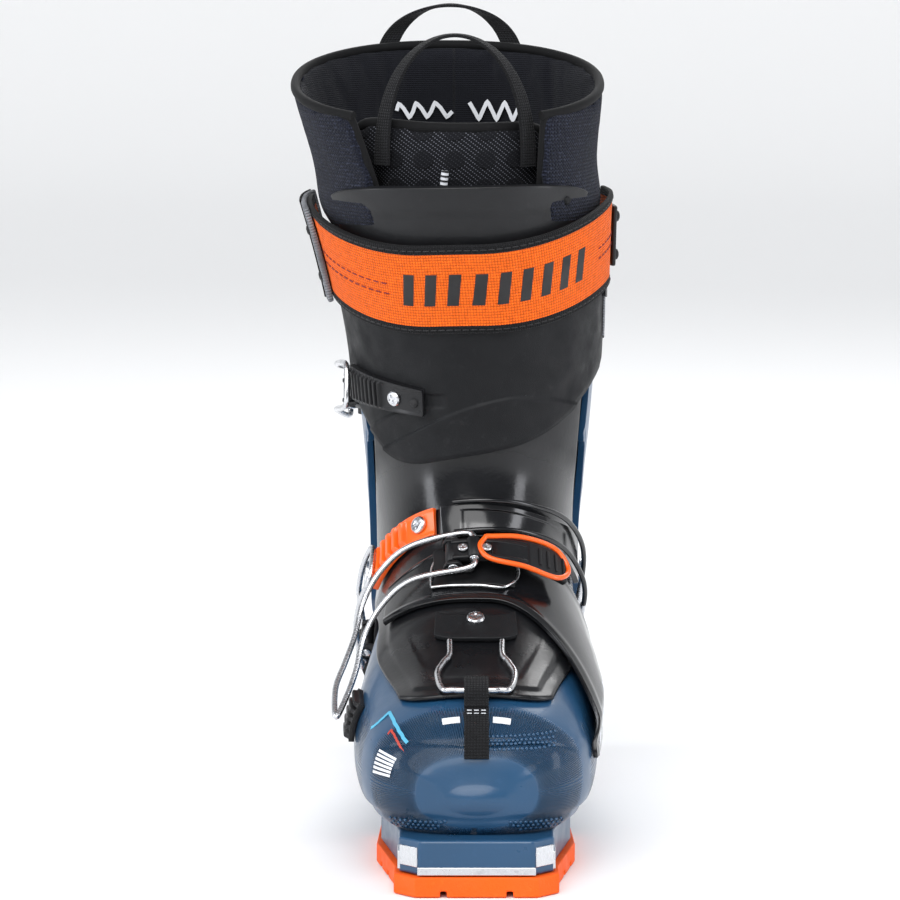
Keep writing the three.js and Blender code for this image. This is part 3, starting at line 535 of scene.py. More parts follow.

# %% [markdown]
# ## Rules as node trees
# Two small Geometry Nodes trees carry most of the trim. The first sweeps a round section along a path,
# for every wire, piping and hem. The second puts a unit shape on each of a set of points and stands it
# up on the surface, for stitches, screws, rivets and the honeycomb dots on the toe.

# %% geometry node trees
def tree_with(name, sockets):
    tree = bpy.data.node_groups.new(name, "GeometryNodeTree")
    tree.interface.new_socket("Geometry", in_out="INPUT", socket_type="NodeSocketGeometry")
    for label, kind in sockets:
        tree.interface.new_socket(label, in_out="INPUT", socket_type=kind)
    tree.interface.new_socket("Geometry", in_out="OUTPUT", socket_type="NodeSocketGeometry")
    return tree, tree.nodes.new("NodeGroupInput"), tree.nodes.new("NodeGroupOutput")


def finish_tree(tree, geometry, inputs, outputs):
    realize = tree.nodes.new("GeometryNodeRealizeInstances")
    paint = tree.nodes.new("GeometryNodeSetMaterial")
    tree.links.new(geometry, realize.inputs[0])
    tree.links.new(realize.outputs[0], paint.inputs["Geometry"])
    tree.links.new(inputs.outputs["Material"], paint.inputs["Material"])
    tree.links.new(paint.outputs[0], outputs.inputs[0])
    return tree


def sweep_tree():
    tree, given, result = tree_with("sweep", [
        ("Radius", "NodeSocketFloat"), ("Sides", "NodeSocketInt"), ("Material", "NodeSocketMaterial")])
    path = tree.nodes.new("GeometryNodeMeshToCurve")
    section = tree.nodes.new("GeometryNodeCurvePrimitiveCircle")
    swept = tree.nodes.new("GeometryNodeCurveToMesh")
    shaded = tree.nodes.new("GeometryNodeSetShadeSmooth")
    swept.inputs["Fill Caps"].default_value = True
    tree.links.new(given.outputs["Geometry"], path.inputs[0])
    tree.links.new(given.outputs["Sides"], section.inputs["Resolution"])
    tree.links.new(given.outputs["Radius"], section.inputs["Radius"])
    tree.links.new(path.outputs[0], swept.inputs["Curve"])
    tree.links.new(section.outputs[0], swept.inputs["Profile Curve"])
    tree.links.new(swept.outputs[0], shaded.inputs[0])
    return finish_tree(tree, shaded.outputs[0], given, result)


def stud_tree():
    tree, given, result = tree_with("studs", [
        ("Unit", "NodeSocketObject"), ("Size", "NodeSocketFloat"), ("Material", "NodeSocketMaterial")])
    unit = tree.nodes.new("GeometryNodeObjectInfo")
    placed = tree.nodes.new("GeometryNodeInstanceOnPoints")
    turned = tree.nodes.new("FunctionNodeAxesToRotation")
    turned.primary_axis, turned.secondary_axis = "Z", "X"
    tree.links.new(given.outputs["Unit"], unit.inputs["Object"])
    tree.links.new(given.outputs["Geometry"], placed.inputs["Points"])
    tree.links.new(unit.outputs["Geometry"], placed.inputs["Instance"])
    for label, socket in (("out", 0), ("along", 1)):
        named = tree.nodes.new("GeometryNodeInputNamedAttribute")
        named.data_type = "FLOAT_VECTOR"
        named.inputs["Name"].default_value = label
        tree.links.new(named.outputs[0], turned.inputs[socket])
    tree.links.new(turned.outputs[0], placed.inputs["Rotation"])
    tree.links.new(given.outputs["Size"], placed.inputs["Scale"])
    return finish_tree(tree, placed.outputs[0], given, result)


SWEEP, STUDS = sweep_tree(), stud_tree()


def run_tree(tree, source, name, **values):
    """Runs a tree on an object and keeps the result as a plain mesh."""
    modifier = source.modifiers.new("rule", "NODES")
    modifier.node_group = tree
    for item in tree.interface.items_tree:
        if item.in_out == "INPUT" and item.name in values:
            modifier[item.identifier] = values[item.name]
    bpy.context.view_layer.update()
    graph = bpy.context.evaluated_depsgraph_get()
    mesh = bpy.data.meshes.new_from_object(source.evaluated_get(graph))
    bpy.data.objects.remove(source)
    mesh.materials.clear()
    mesh.materials.append(values["Material"])
    mesh.polygons.foreach_set("material_index", [0] * len(mesh.polygons))
    obj = bpy.data.objects.new(name, mesh)
    scene.collection.objects.link(obj)
    return obj


def wire(name, points, radius, finish, sides=16):
    path = mesh_object(name + "_path", points, [])
    path.data.edges.add(len(points) - 1)
    pairs = np.stack([np.arange(len(points) - 1), np.arange(1, len(points))], -1)
    path.data.edges.foreach_set("vertices", pairs.ravel())
    obj = run_tree(SWEEP, path, name, Radius=radius * MM, Sides=sides, Material=finish.mat)
    return outside_in(obj, 1e-7)


def studs(name, points, outs, alongs, unit, finish, size=1.0):
    seeds = mesh_object(name + "_seeds", points, [])
    for label, values in (("out", outs), ("along", alongs)):
        layer = seeds.data.attributes.new(label, "FLOAT_VECTOR", "POINT")
        layer.data.foreach_set("vector", np.asarray(values, np.float32).ravel())
    obj = run_tree(STUDS, seeds, name, Unit=unit, Size=float(size), Material=finish.mat)
    obj.data.polygons.foreach_set("use_smooth", [True] * len(obj.data.polygons))
    return obj


def on_skin(u, turn, off):
    """Points, outward and round directions for studs on the last."""
    u, turn = np.asarray(u, float), np.asarray(turn, float)
    return proud(u, turn, off + 0 * u), outward(u, turn), skin(u, turn + 1) - skin(u, turn - 1)


def smooth_line(points, per=6):
    """A curve through the points that doesn't overshoot in tight bends."""
    p = np.asarray(points, float)
    q = np.vstack([2 * p[0] - p[1], p, 2 * p[-1] - p[-2]])
    line = []
    for a, b, c, d in zip(q[:-3], q[1:-2], q[2:-1], q[3:]):
        gaps = [max(np.linalg.norm(x) ** 0.5, 1e-6) for x in (b - a, c - b, d - c)]
        m1 = ((b - a) / gaps[0] - (c - a) / (gaps[0] + gaps[1]) + (c - b) / gaps[1]) * gaps[1]
        m2 = ((c - b) / gaps[1] - (d - b) / (gaps[1] + gaps[2]) + (d - c) / gaps[2]) * gaps[1]
        s = np.linspace(0, 1, per, endpoint=False)[:, None]
        line.append((2 * s ** 3 - 3 * s ** 2 + 1) * b + (s ** 3 - 2 * s ** 2 + s) * m1
                    + (3 * s ** 2 - 2 * s ** 3) * c + (s ** 3 - s ** 2) * m2)
    return np.vstack(line + [p[-1:]])


def route(places, per=6):
    u, turn, off = smooth_line(places, per).T
    return proud(u, turn, off)


def dress(obj, finish, body, *nodes):
    """Gives a piece its finish, its body and the CAD nodes that it stands for."""
    if finish is not None:
        obj.data.materials.clear()
        obj.data.materials.append(finish.mat)
    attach(obj, body)
    if nodes:
        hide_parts(*nodes)
    return obj


print("trees ready")

# %% [markdown]
# ## Unit shapes
# The studs tree needs shapes to repeat. They are small and few: a stitch, a dome, a six-sided dot and a
# screw head with a slot. They live in a collection outside the scene, as only their copies are the boot's.

# %% unit shapes
def lathe(name, profile, sides=24):
    """A closed round shape from (radius, height) pairs in millimetres, from the base up."""
    verts, faces = [], []
    for r, z in profile:
        for k in range(sides):
            angle = 2 * math.pi * k / sides
            verts.append((r * math.cos(angle) * MM, r * math.sin(angle) * MM, z * MM))
    for i in range(len(profile) - 1):
        for k in range(sides):
            a, b = i * sides + k, i * sides + (k + 1) % sides
            faces.append((a, b, b + sides, a + sides))
    faces.append(tuple(range(sides))[::-1])
    faces.append(tuple(range((len(profile) - 1) * sides, len(profile) * sides)))
    return outside_in(mesh_object(name, verts, faces))


stitch_unit = prism("unit_stitch",
                    [(-1.3, -0.28), (1.3, -0.28), (1.5, 0), (1.3, 0.28), (-1.3, 0.28),
                     (-1.5, 0)], -0.3, 0.28, 0)
stitch_unit.modifiers.clear()
dot_unit = lathe("unit_dot", [(0.78, -0.4), (0.78, 0.14), (0.5, 0.38)], 6)
dome_unit = lathe("unit_dome", [(1.0, -0.3), (1.0, 0.15), (0.8, 0.42), (0.4, 0.58)], 14)
head = lathe("screw_head", [(1.0, 0), (1.0, 0.26), (0.86, 0.42), (0.6, 0.48)], 32)
slots = [prism("slot_a", [(-0.62, -0.13), (0.62, -0.13), (0.62, 0.13), (-0.62, 0.13)], 0.28, 0.6, 0)]
slots.append(prism("slot_b", [(-0.13, -0.62), (0.13, -0.62), (0.13, 0.62), (-0.13, 0.62)], 0.28, 0.6, 0))
for slot_tool in slots:
    cutter = head.modifiers.new("slot", "BOOLEAN")
    cutter.operation = "DIFFERENCE"
    cutter.object = slot_tool
smooth(head, 0.05 * MM, 2, 30)
screw_unit = joined("unit_screw", [head])
for slot_tool in slots:
    bpy.data.objects.remove(slot_tool)
for unit in (stitch_unit, dot_unit, dome_unit, screw_unit):
    for node in unit.users_collection:
        node.objects.unlink(unit)
units = bpy.data.collections.new("units")
for unit in (stitch_unit, dot_unit, dome_unit, screw_unit):
    units.objects.link(unit)

# %% [markdown]
# ## Layers
# A boot is an onion. Every piece lies at its own distance from the last, so pieces never fight for the same
# place. These are the same offsets, in millimetres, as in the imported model.

# %% offsets and shared rules
SHELL_OUT = 4.0
TONGUE_IN, TONGUE_OUT = 4.9, 7.9
CUFF_IN, CUFF_OUT = 5.6, 8.4
PLATE_IN, PLATE_OUT = 9.3, 11.6
STRAP_IN, STRAP_OUT = 12.0, 14.2
FOOT_STRAP_IN, FOOT_STRAP_OUT = 8.8, 11.0
LINER_OUT = 4.5
SHELL_TOP = 12.4


def mix(low, high, t):
    return low + (high - low) * t


def throat_half(u):
    return 46 * ease(u, 3.7, 7.2) + 4 * ease(u, 8, 12)


def tongue_half(u):
    return 37 + 14 * ease(u, 3, 6) + 20 * ease(u, 6, 9) - 5 * ease(u, 11.5, 14)


def hem(turn):
    t = np.abs(turn)
    return 13.3 - 2.8 * ease(t, 76, 92) + 2.5 * ease(t, 106, 148)


def cuff_top(turn):
    return 16.3 + 0.5 * ease(np.abs(turn), 90, 150)


def fold(turn):
    return np.where(turn > 180, turn - 360, turn)


def ridge(distance, width):
    return np.exp(-(distance / width) ** 2)


# %% [markdown]
# ## The lower shell
# The shell goes round the foot in one sheet, closed over the toes and open at the throat, where the tongue
# lies. We walk the rows from toe to ankle and let each row start and end at the edge of the throat; where
# the throat has no width the two ends meet and are merged. The toe gets a shallow crease, a step above
# the lug and two soft shoulders, because a moulded toe is never a plain dome.

# %% lower shell
def shell_detail(u, turn):
    t = np.abs(fold(turn))
    height = skin(u, turn)[..., 2]
    crease = ridge(u - (1.05 + 0.85 * (t / 60) ** 2), 0.055) * ease(t, 78, 62) * ease(u, 0.5, 0.9)
    step = ridge(height - 32.5, 1.5) * ease(u, 4.5, 3.5) * ease(u, 0.2, 0.9)
    shoulder = ridge(t - 66, 11) * ease(u, 0.3, 1.0) * ease(u, 3.4, 2.4)
    panel = ridge(t - 92, 5) * ease(u, 4.9, 5.4) * ease(u, 9.6, 8.8)
    return SHELL_OUT - 0.8 * crease - 0.9 * step + 1.1 * shoulder + 0.7 * panel


NOSE_RISE = 1.9 * MM


def lower_shell(rows=230, columns=150):
    u_line = np.linspace(0.0, SHELL_TOP, rows + 1)
    b = np.linspace(0, 1, columns + 1)
    half = throat_half(u_line)[:, None]
    turn = half + (360 - 2 * half) * b[None, :]
    u = np.repeat(u_line[:, None], columns + 1, 1)
    layers = []
    for off in (shell_detail(u, turn), np.zeros_like(u)):
        points = proud(u, turn, off)
        centre = points[0].mean(0)
        dome = []
        for share in (0.02, 0.2, 0.4, 0.6, 0.8):
            ring = centre + (points[0] - centre) * share
            dome.append(ring + np.array([0, -NOSE_RISE * (1 - share ** 2), 0]))
        layers.append(np.concatenate([np.array(dome), points]))
    extra = len(layers[0]) - rows - 1
    total = rows + 1 + extra
    values_u = np.concatenate([np.zeros((extra, columns + 1)), u])
    values_t = np.concatenate([np.repeat(turn[:1], extra, 0), turn])
    size = total * (columns + 1)
    o = np.arange(size).reshape(total, columns + 1)
    i = o + size
    faces = [np.stack([o[:-1, :-1], o[:-1, 1:], o[1:, 1:], o[1:, :-1]], -1).reshape(-1, 4)]
    faces.append(np.stack([i[:-1, :-1], i[1:, :-1], i[1:, 1:], i[:-1, 1:]], -1).reshape(-1, 4))
    faces.append(np.stack([o[-1, :-1], o[-1, 1:], i[-1, 1:], i[-1, :-1]], -1))
    opened = np.where(np.concatenate([np.zeros(extra), half[:, 0]]) > 0)[0]
    first = opened[0] - 1
    faces.append(np.stack([o[first:-1, 0], o[first + 1:, 0], i[first + 1:, 0], i[first:-1, 0]], -1))
    faces.append(np.stack([o[first:-1, -1], i[first:-1, -1], i[first + 1:, -1], o[first + 1:, -1]], -1))
    verts = np.concatenate([layer.reshape(-1, 3) for layer in layers])
    values = {"place": values_u, "turn": fold(values_t)}
    obj = mesh_object("shell_wall", verts, np.concatenate(faces), None,
                      {key: np.tile(value.ravel(), 2) for key, value in values.items()})
    bm = bmesh.new()
    bm.from_mesh(obj.data)
    bmesh.ops.remove_doubles(bm, verts=bm.verts, dist=2e-5)
    bmesh.ops.holes_fill(bm, edges=[e for e in bm.edges if e.is_boundary], sides=0)
    bmesh.ops.recalc_face_normals(bm, faces=bm.faces)
    bm.to_mesh(obj.data)
    bm.free()
    return smooth(obj)


LUG_FLOOR, LUG_TOP = 8.9, 21.0


def toe_outline(inset):
    toe, ball, nose = 35 - inset, 43 - inset, TOE_Y / MM + inset
    side = [(toe - 9, nose), (toe, nose + 9), (toe, nose + 24), (ball, nose + 70), (ball - 2, -28 - inset)]
    return [(x + FOOT_X / MM, y) for x, y in side] + [(FOOT_X / MM - x, y) for x, y in side[::-1]]


def heel_outline(inset):
    half, back = 35 - inset, HEEL_Y / MM - inset
    side = [(half, 72 + inset), (half, back - 26), (half - 6, back - 9), (half - 17, back)]
    return [(x + FOOT_X / MM, y) for x, y in side] + [(FOOT_X / MM - x, y) for x, y in side[::-1]]


wall = lower_shell()
toe_lug = prism("toe_lug", toe_outline(2), LUG_FLOOR, LUG_TOP + 3, 1.4, segments=3)
heel_lug = prism("heel_lug", heel_outline(2), LUG_FLOOR, LUG_TOP + 4, 1.4, segments=3)
for lug in (toe_lug, heel_lug):
    lug.data.materials.append(blue.mat)
wall.data.materials.append(blue.mat)
shell = dress(wall, blue, "root", "lower_shell")
lugs = dress(joined("shell_lugs", [toe_lug, heel_lug]), blue, "root")
lugs.data.polygons.foreach_set("use_smooth", [True] * len(lugs.data.polygons))
print("shell faces", len(shell.data.polygons))

# %% [markdown]
# The honeycomb on the toe is a rule: a six-sided grid, seen from the front, dropped on to the shell. To
# find the address of a place we only see from the front, we sample the toe closely and take the nearest.

# %% honeycomb dots
toe_u, toe_turn = np.meshgrid(np.linspace(0.05, 3.2, 220), np.linspace(-150, 150, 400), indexing="ij")
toe_points = proud(toe_u, toe_turn, shell_detail(toe_u, toe_turn))
facing = outward(toe_u, toe_turn)[..., 1] < -0.12


def front_address(x, z):
    """u and turn of the toe surface seen from the front at x and z, in millimetres from the foot axis."""
    flat = np.stack([toe_points[..., 0][facing], toe_points[..., 2][facing]], -1)
    goal = np.stack([np.ravel(x) * MM + FOOT_X, np.ravel(z) * MM], -1)
    gap = ((goal[:, None, :] - flat[None]) ** 2).sum(-1)
    near = gap.argmin(1)
    good = gap.min(1) < (0.8 * MM) ** 2
    return toe_u[facing][near][good], toe_turn[facing][near][good]


def hex_grid(x0, x1, z0, z1, pitch):
    rows = np.arange(z0, z1, pitch * 0.87)
    return np.array([(x + pitch / 2 * (k % 2), z)
                     for k, z in enumerate(rows) for x in np.arange(x0, x1, pitch)])


dots = np.concatenate([hex_grid(4, 34, 61, 66, 1.9), hex_grid(-36, 36, 26.5, 30.5, 2.1)])
dot_u, dot_turn = front_address(dots[:, 0], dots[:, 1])
honeycomb = studs("toe_honeycomb", *on_skin(dot_u, dot_turn, SHELL_OUT), dot_unit, blue)
dress(honeycomb, blue, "root")
print("honeycomb dots", len(dot_u))


# %% [markdown]
# ## Prints
# Prints are films a tenth of a millimetre thick that follow the skin: a chevron by the outer side of the
# toe, a hatch beside it and two plain bars on the nose. They carry no lettering.

# %% prints on the shell
def film(name, centre_line, width, off, finish, body, closed=False):
    """A printed stripe along (u, turn) places, with that width in millimetres."""
    u, turn = smooth_line(centre_line, 8).T if closed else np.array(centre_line, float).T
    count = len(u)
    points = proud(u, turn, off + 0 * u)
    step = np.gradient(points, axis=0)
    if closed:
        step = (np.roll(points, -1, 0) - np.roll(points, 1, 0))
    side = np.cross(outward(u, turn), step)
    side /= np.linalg.norm(side, axis=-1, keepdims=True)
    lift = outward(u, turn) * 0.12 * MM
    w = np.asarray(width, float).reshape(-1, 1) * MM / 2
    corners = np.stack([points + side * w + lift, points - side * w + lift,
                        points - side * w - lift, points + side * w - lift], 1).reshape(-1, 3)
    faces = []
    last = count if closed else count - 1
    for i in range(last):
        a, b = 4 * i, 4 * ((i + 1) % count)
        faces += [(a + k, a + (k + 1) % 4, b + (k + 1) % 4, b + k) for k in range(4)]
    if not closed:
        faces += [(3, 2, 1, 0), tuple(4 * (count - 1) + k for k in range(4))]
    obj = outside_in(mesh_object(name, corners, faces))
    return dress(obj, finish, body)


def line_on_toe(points, count=14):
    """Places along a straight front view line from one (x, z) to the next."""
    line = [np.linspace(a, b, count) for a, b in zip(points[:-1], points[1:])]
    u, turn = front_address(*np.concatenate(line).T)
    return np.stack([u, turn], -1)


film("chevron_cyan", line_on_toe([(-45, 64), (-37, 71), (-29, 62)]), 1.6, SHELL_OUT + 0.35, ink_cyan,
     "root")
film("chevron_red", line_on_toe([(-39, 63), (-36, 66), (-31, 59)]), 1.0, SHELL_OUT + 0.35, ink_red, "root")
for side, edge in {"outer": -7.5, "inner": 7.5}.items():
    bar_turn = np.linspace(edge, edge * 2.4, 14)
    film("nose_bar_" + side, np.stack([1.9 + 0 * bar_turn, bar_turn], -1), 3.8, SHELL_OUT + 0.2, ink_white,
         "root")
for k in range(6):
    hatch_turn = np.linspace(-66 - 3.2 * k, -69 - 3.2 * k, 12)
    film("side_hatch_%d" % k, np.stack([np.linspace(1.5, 2.2, 12), hatch_turn], -1), 1.1, SHELL_OUT + 1.0,
         ink_white, "root")
print("prints done")

# %% [markdown]
# ## Soles and binding parts
# The soles are orange rubber with cross grooves, cut by booleans from a rounded slab. The steel sockets for
# the binding's pins sit flush in the sides of the toe lug, and a slotted plate closes the heel.

# %% soles
def box_mesh(name, low, high):
    outline = [(low[0], low[1]), (high[0], low[1]), (high[0], high[1]), (low[0], high[1])]
    obj = prism(name, outline, low[2], high[2], 0)
    obj.modifiers.clear()
    return obj


def carve(obj, cutters, bevel):
    tool = joined(obj.name + "_tool", cutters)
    cut = obj.modifiers.new("cut", "BOOLEAN")
    cut.operation = "DIFFERENCE"
    cut.solver = "EXACT"
    cut.object = tool
    baked = joined(obj.name + "_cut", [obj])
    bpy.data.objects.remove(tool)
    outside_in(baked, 1e-5)
    return smooth(baked, bevel * MM, 2, 30)


def sole(name, outline, low_y, high_y, step, first, node):
    slab = prism(name, outline, 0, 8.5, 0)
    slab.modifiers.clear()
    axis = FOOT_X / MM
    tools = [box_mesh("groove", (axis - 60, y, -1), (axis + 60, y + 4, 2.4))
             for y in np.arange(low_y + first, high_y, step)]
    front, back = low_y - 2, low_y + first - 3
    tools += [box_mesh("notch", (axis + x - 1.4, front, -1), (axis + x + 1.4, back, 2.6))
              for x in (-14, 14)]
    obj = carve(slab, tools, 0.7)
    obj.name = name
    dress(obj, sole_orange, "root", node)
    return obj


sole("rubber_toe_sole", toe_outline(0), TOE_Y / MM, -38, 17, 22, "toe_sole")
sole("rubber_heel_sole", heel_outline(0), 72, HEEL_Y / MM - 20, 15, 14, "heel_sole")


def socket_block(name, side, node):
    """A steel block with a round dimple for the binding's pin."""
    low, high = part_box(node)
    face = high.x if side > 0 else low.x
    centre = [(low[k] + high[k]) / 2 / MM for k in range(3)]
    block = box_mesh(name, [v / MM for v in low], [v / MM for v in high])
    block.data.transform(Matrix.Translation((side * 0.0004, 0, 0)))
    dimple = lathe("dimple", [(0.6, -2.4), (3.0, 0.1), (3.0, 1.0)], 28)
    turn = Matrix.Rotation(side * math.pi / 2, 4, "Y")
    dimple.data.transform(Matrix.Translation((face + side * 0.0005, centre[1] * MM, centre[2] * MM)) @ turn)
    obj = carve(block, [dimple], 0.5)
    obj.name = name
    dress(obj, bright_steel, "root", node)
    return obj


socket_block("steel_socket_inner", 1, "toe_pin_socket_inner")
socket_block("steel_socket_outer", -1, "toe_pin_socket_outer")
axis = FOOT_X / MM
nose = TOE_Y / MM + 2
strike = prism("toe_strike_plate", [(axis - 25, nose - 0.7), (axis + 25, nose - 0.7), (axis + 25, nose + 2),
                                    (axis - 25, nose + 2)], 9.2, 12.6, 0.3)
dress(strike, bright_steel, "root")
for side in (1, -1):
    lean = np.array([0.707, -0.707])
    near, far = np.array([24.8, nose + 0.8]), np.array([32.2, nose + 8.2])
    outline = [near - 0.5 * lean, near + 0.7 * lean, far + 0.7 * lean, far - 0.5 * lean]
    insert = prism("toe_corner_insert_%s" % ("inner" if side > 0 else "outer"),
                   [(axis + side * x, y) for x, y in outline[::side]], 12.5, 21, 0.3)
    dress(insert, bright_steel, "root")
plate_low, plate_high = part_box("heel_pin_plate")
heel_plate = box_mesh("heel_plate", [v / MM for v in plate_low], [v / MM for v in plate_high])
heel_slots = [box_mesh("slot", (axis + x - 2.2, plate_low.y / MM - 1, 8),
                       (axis + x + 2.2, 160, plate_high.z / MM - 5))
              for x in (-8, 8)]
heel_steel = carve(heel_plate, heel_slots, 0.4)
heel_steel.name = "steel_heel_plate"
dress(heel_steel, bright_steel, "root", "heel_pin_plate")
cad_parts["boot_board"].data.materials.clear()
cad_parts["boot_board"].data.materials.append(board_grey.mat)
print("soles and sockets done")

# %% [markdown]
# ## Tongue
# The imported model splits the tongue where the cuff turns. The real one is a single springy plate, so we
# make it in one piece. Its toe end is a shallow dome with a raised
# field, and its finish goes from gloss below to matt above.

# %% tongue
def tongue_finish():
    f = plastic("black_tongue_plastic", (0.0052, 0.0056, 0.0068), 0.2, 0.12, 0.00005, 600, 0.08, 0.34)
    high = f.spread(f.attribute("place"), 12.2, 12.9)
    low = f.spread(f.attribute("place"), 7.6, 6.6)
    uneven = f.spread(f.noise(80, 5), 0.3, 0.7, -0.05, 0.05)
    rough = f.math("ADD", f.math("MULTIPLY", high, 0.32), f.math("MULTIPLY", low, 0.1))
    f.rough(f.math("ADD", f.math("ADD", rough, 0.2), uneven))
    return f


tongue_black = tongue_finish()


def tongue_place(a, b):
    edge = np.abs(2 * b - 1)
    u = mix(2.75 + 0.45 * edge ** 4, 17.3 - 0.25 * edge ** 4, a)
    return u, (2 * b - 1) * tongue_half(u)


def tongue_top(a, b, u, turn):
    side = (1 - np.abs(2 * b - 1)) * tongue_half(u) * 0.75
    from_toe = (u - 2.75 - 0.45 * np.abs(2 * b - 1) ** 4) * 22
    inset = np.minimum(side, from_toe)
    raised = ease(inset, 6, 8.5)
    field = ease(inset, 15, 16.5) * ease(u, 5.6, 5.2)
    toe = ease(u, 7.8, 6.8)
    rim = ease(inset, 0, 1.2)
    lip = ease(u, 16.75, 16.95) * ease(side, 1.5, 4)
    return TONGUE_OUT - 0.5 * (1 - rim) - toe * 0.9 * (1 - raised) - 0.35 * field * toe + 0.8 * lip


tongue = patch("tongue_plate", tongue_place, TONGUE_IN, tongue_top, 240, 72, 0.6)
tongue = joined("tongue_plate", [tongue])
tongue.data.materials.append(tongue_black.mat)
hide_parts("tongue_lower", "tongue_upper")
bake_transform(tongue)
lip_rivets = studs("lip_hole_rim", *on_skin([17.0], [46.0], TONGUE_OUT + 0.8), dome_unit, matte_black, 2.0)
dress(lip_rivets, matte_black, "cuff")

tab = patch("tongue_tab_leather",
            lambda a, b: (mix(4.75, 5.5, a) + 0.2 * np.abs(2 * b - 1) ** 3, mix(-15, 15, b)),
            TONGUE_OUT + 0.1, 10.3, 24, 30, 0.7)
dress(tab, matte_black, "root", "tongue_tab")
tongue_rivet = studs("slotted_tongue_rivet", *on_skin([5.35], [0.0], 10.3), screw_unit, bright_steel, 4.0)
dress(tongue_rivet, bright_steel, "root", "tongue_rivet")
print("tongue done")

# %% [markdown]
# ## The toe bail
# A spring wire lies over the tongue's toe end. Its webbing tab lets a gloved finger lift it. The wire is one
# sweep along places on the last; the webbing is a flat band that folds over the wire and hangs down the toe.

# %% toe bail and pull tab
BAIL_OFF = TONGUE_OUT + 1.8
WIRE = 1.3
OMEGA = [(4.7, 8.5), (4.35, 8.5), (3.95, 11.5), (3.4, 14.5), (2.95, 14), (2.7, 8), (2.66, 3)]


def band(name, points, widths, width, thickness, finish, crown=0.25):
    """A flat band with rounded edges along points in metres, each with the direction of its width."""
    p = np.asarray(points, float)
    side = np.asarray(widths, float)
    side /= np.linalg.norm(side, axis=-1, keepdims=True)
    step = np.gradient(p, axis=0)
    thick = np.cross(step, side)
    thick /= np.linalg.norm(thick, axis=-1, keepdims=True)
    half, deep = width * MM / 2, thickness * MM / 2
    across = np.linspace(-1, 1, 7)
    upper = [(w * half, deep * (1 - crown * abs(w) ** 4)) for w in across]
    section = upper + [(x, -z) for x, z in upper[::-1]]
    ring = len(section)
    verts = np.concatenate([p[:, None] + side[:, None] * np.array(section)[None, :, :1]
                            + thick[:, None] * np.array(section)[None, :, 1:]], 0).reshape(-1, 3)
    faces = []
    for i in range(len(p) - 1):
        faces += [(ring * i + k, ring * i + (k + 1) % ring, ring * (i + 1) + (k + 1) % ring,
                   ring * (i + 1) + k)
                  for k in range(ring)]
    faces += [tuple(range(ring)), tuple(range(ring * (len(p) - 1), ring * len(p)))[::-1]]
    run = np.concatenate([[0], np.cumsum(np.linalg.norm(np.diff(p, axis=0), axis=-1))])
    uv = np.array([(x, r) for r in run for x, _ in section])
    obj = outside_in(mesh_object(name, verts, faces, uv,
                                 {"across": np.tile([x / half for x, _ in section], len(p))}))
    obj.data.materials.append(finish.mat)
    return smooth(obj, 0.25 * MM, 2, 50)


u_line, t_line = smooth_line(OMEGA, 8).T
omega = np.concatenate([proud(u_line, -t_line, BAIL_OFF + 0 * u_line),
                        proud(u_line, t_line, BAIL_OFF + 0 * u_line)[::-1]])
bail = wire("toe_bail_wire", smooth_line(omega, 2), WIRE, bright_steel)
dress(bail, None, "toe_bail", "toe_bail")
PULL = [(3.0, 2.7), (2.75, 2.7), (2.45, 2.0), (2.15, -2.4), (1.75, -4.2), (1.3, -4.2), (0.95, -4.2),
        (0.7, -4.2)]
pull_u, pull_lift = smooth_line(PULL, 8).T
pull_line = proud(pull_u, 0 * pull_u, BAIL_OFF + pull_lift)
tab_band = band("toe_pull_webbing", pull_line, [(1, 0, 0)] * len(pull_line), 10.5, 1.7, black_webbing)
dress(tab_band, None, "toe_bail", "toe_pull_strap")
fold_line = pull_line[4:26] + np.array([0, -0.9 * MM, 0.9 * MM])
fold_band = band("toe_pull_fold", fold_line, [(1, 0, 0)] * len(fold_line), 10.2, 1.1, black_webbing)
dress(fold_band, None, "toe_bail")
tack = studs("toe_pull_tack",
             np.array([p + np.array([dx * MM, -0.95 * MM, 0.1 * MM]) for p in pull_line[26:29:2]
                                        for dx in (-3, 0, 3)]),
             [(0, -1, 0.2)] * 6, [(1, 0, 0)] * 6, stitch_unit, thread_white, 0.7)
dress(tack, thread_white, "toe_bail")
print("toe bail done")

# %% [markdown]
# ## The cuff and the shin plate
# The blue cuff turns on two bolts at the ankle. Over its front edges lies a matt black plate with a raised
# facet along its lower edge and a shallow pocket for the ladder. Both are patches on the last; what makes
# them look moulded is the small change of their outer offset.

# %% cuff, shin plate and bolts
def cuff_place(a, b):
    turn = mix(74, 286, b)
    return mix(hem(fold(turn)), cuff_top(fold(turn)), a), turn


def cuff_detail(a, b, u, turn):
    t = np.abs(fold(turn))
    edge = np.minimum(a, 1 - a) * 60
    bead = ridge(edge - 3.2, 1.6)
    flute = ridge(t - 128, 6) * ease(u, 13.2, 13.8) * ease(u, 16.2, 15.6)
    pad = ease(t, 112, 106) * ease(u, 13.0, 12.6)
    return CUFF_OUT - 0.45 * bead - 0.7 * flute + 0.3 * pad


cuff = patch("cuff_wall", cuff_place, CUFF_IN, cuff_detail, 90, 170, 0.9)
dress(cuff, blue, "cuff", "cuff_shell")


def shin_hem(turn):
    left = mix(12.15, 14.2, ease(-turn, 20, 92))
    right = mix(12.15, 14.6, ease(turn, -20, 92) ** 1.15)
    return np.where(turn < -20, left, right)


def shin_place(a, b):
    turn = mix(-94, 94, b)
    return mix(shin_hem(turn), 16.2, a), turn


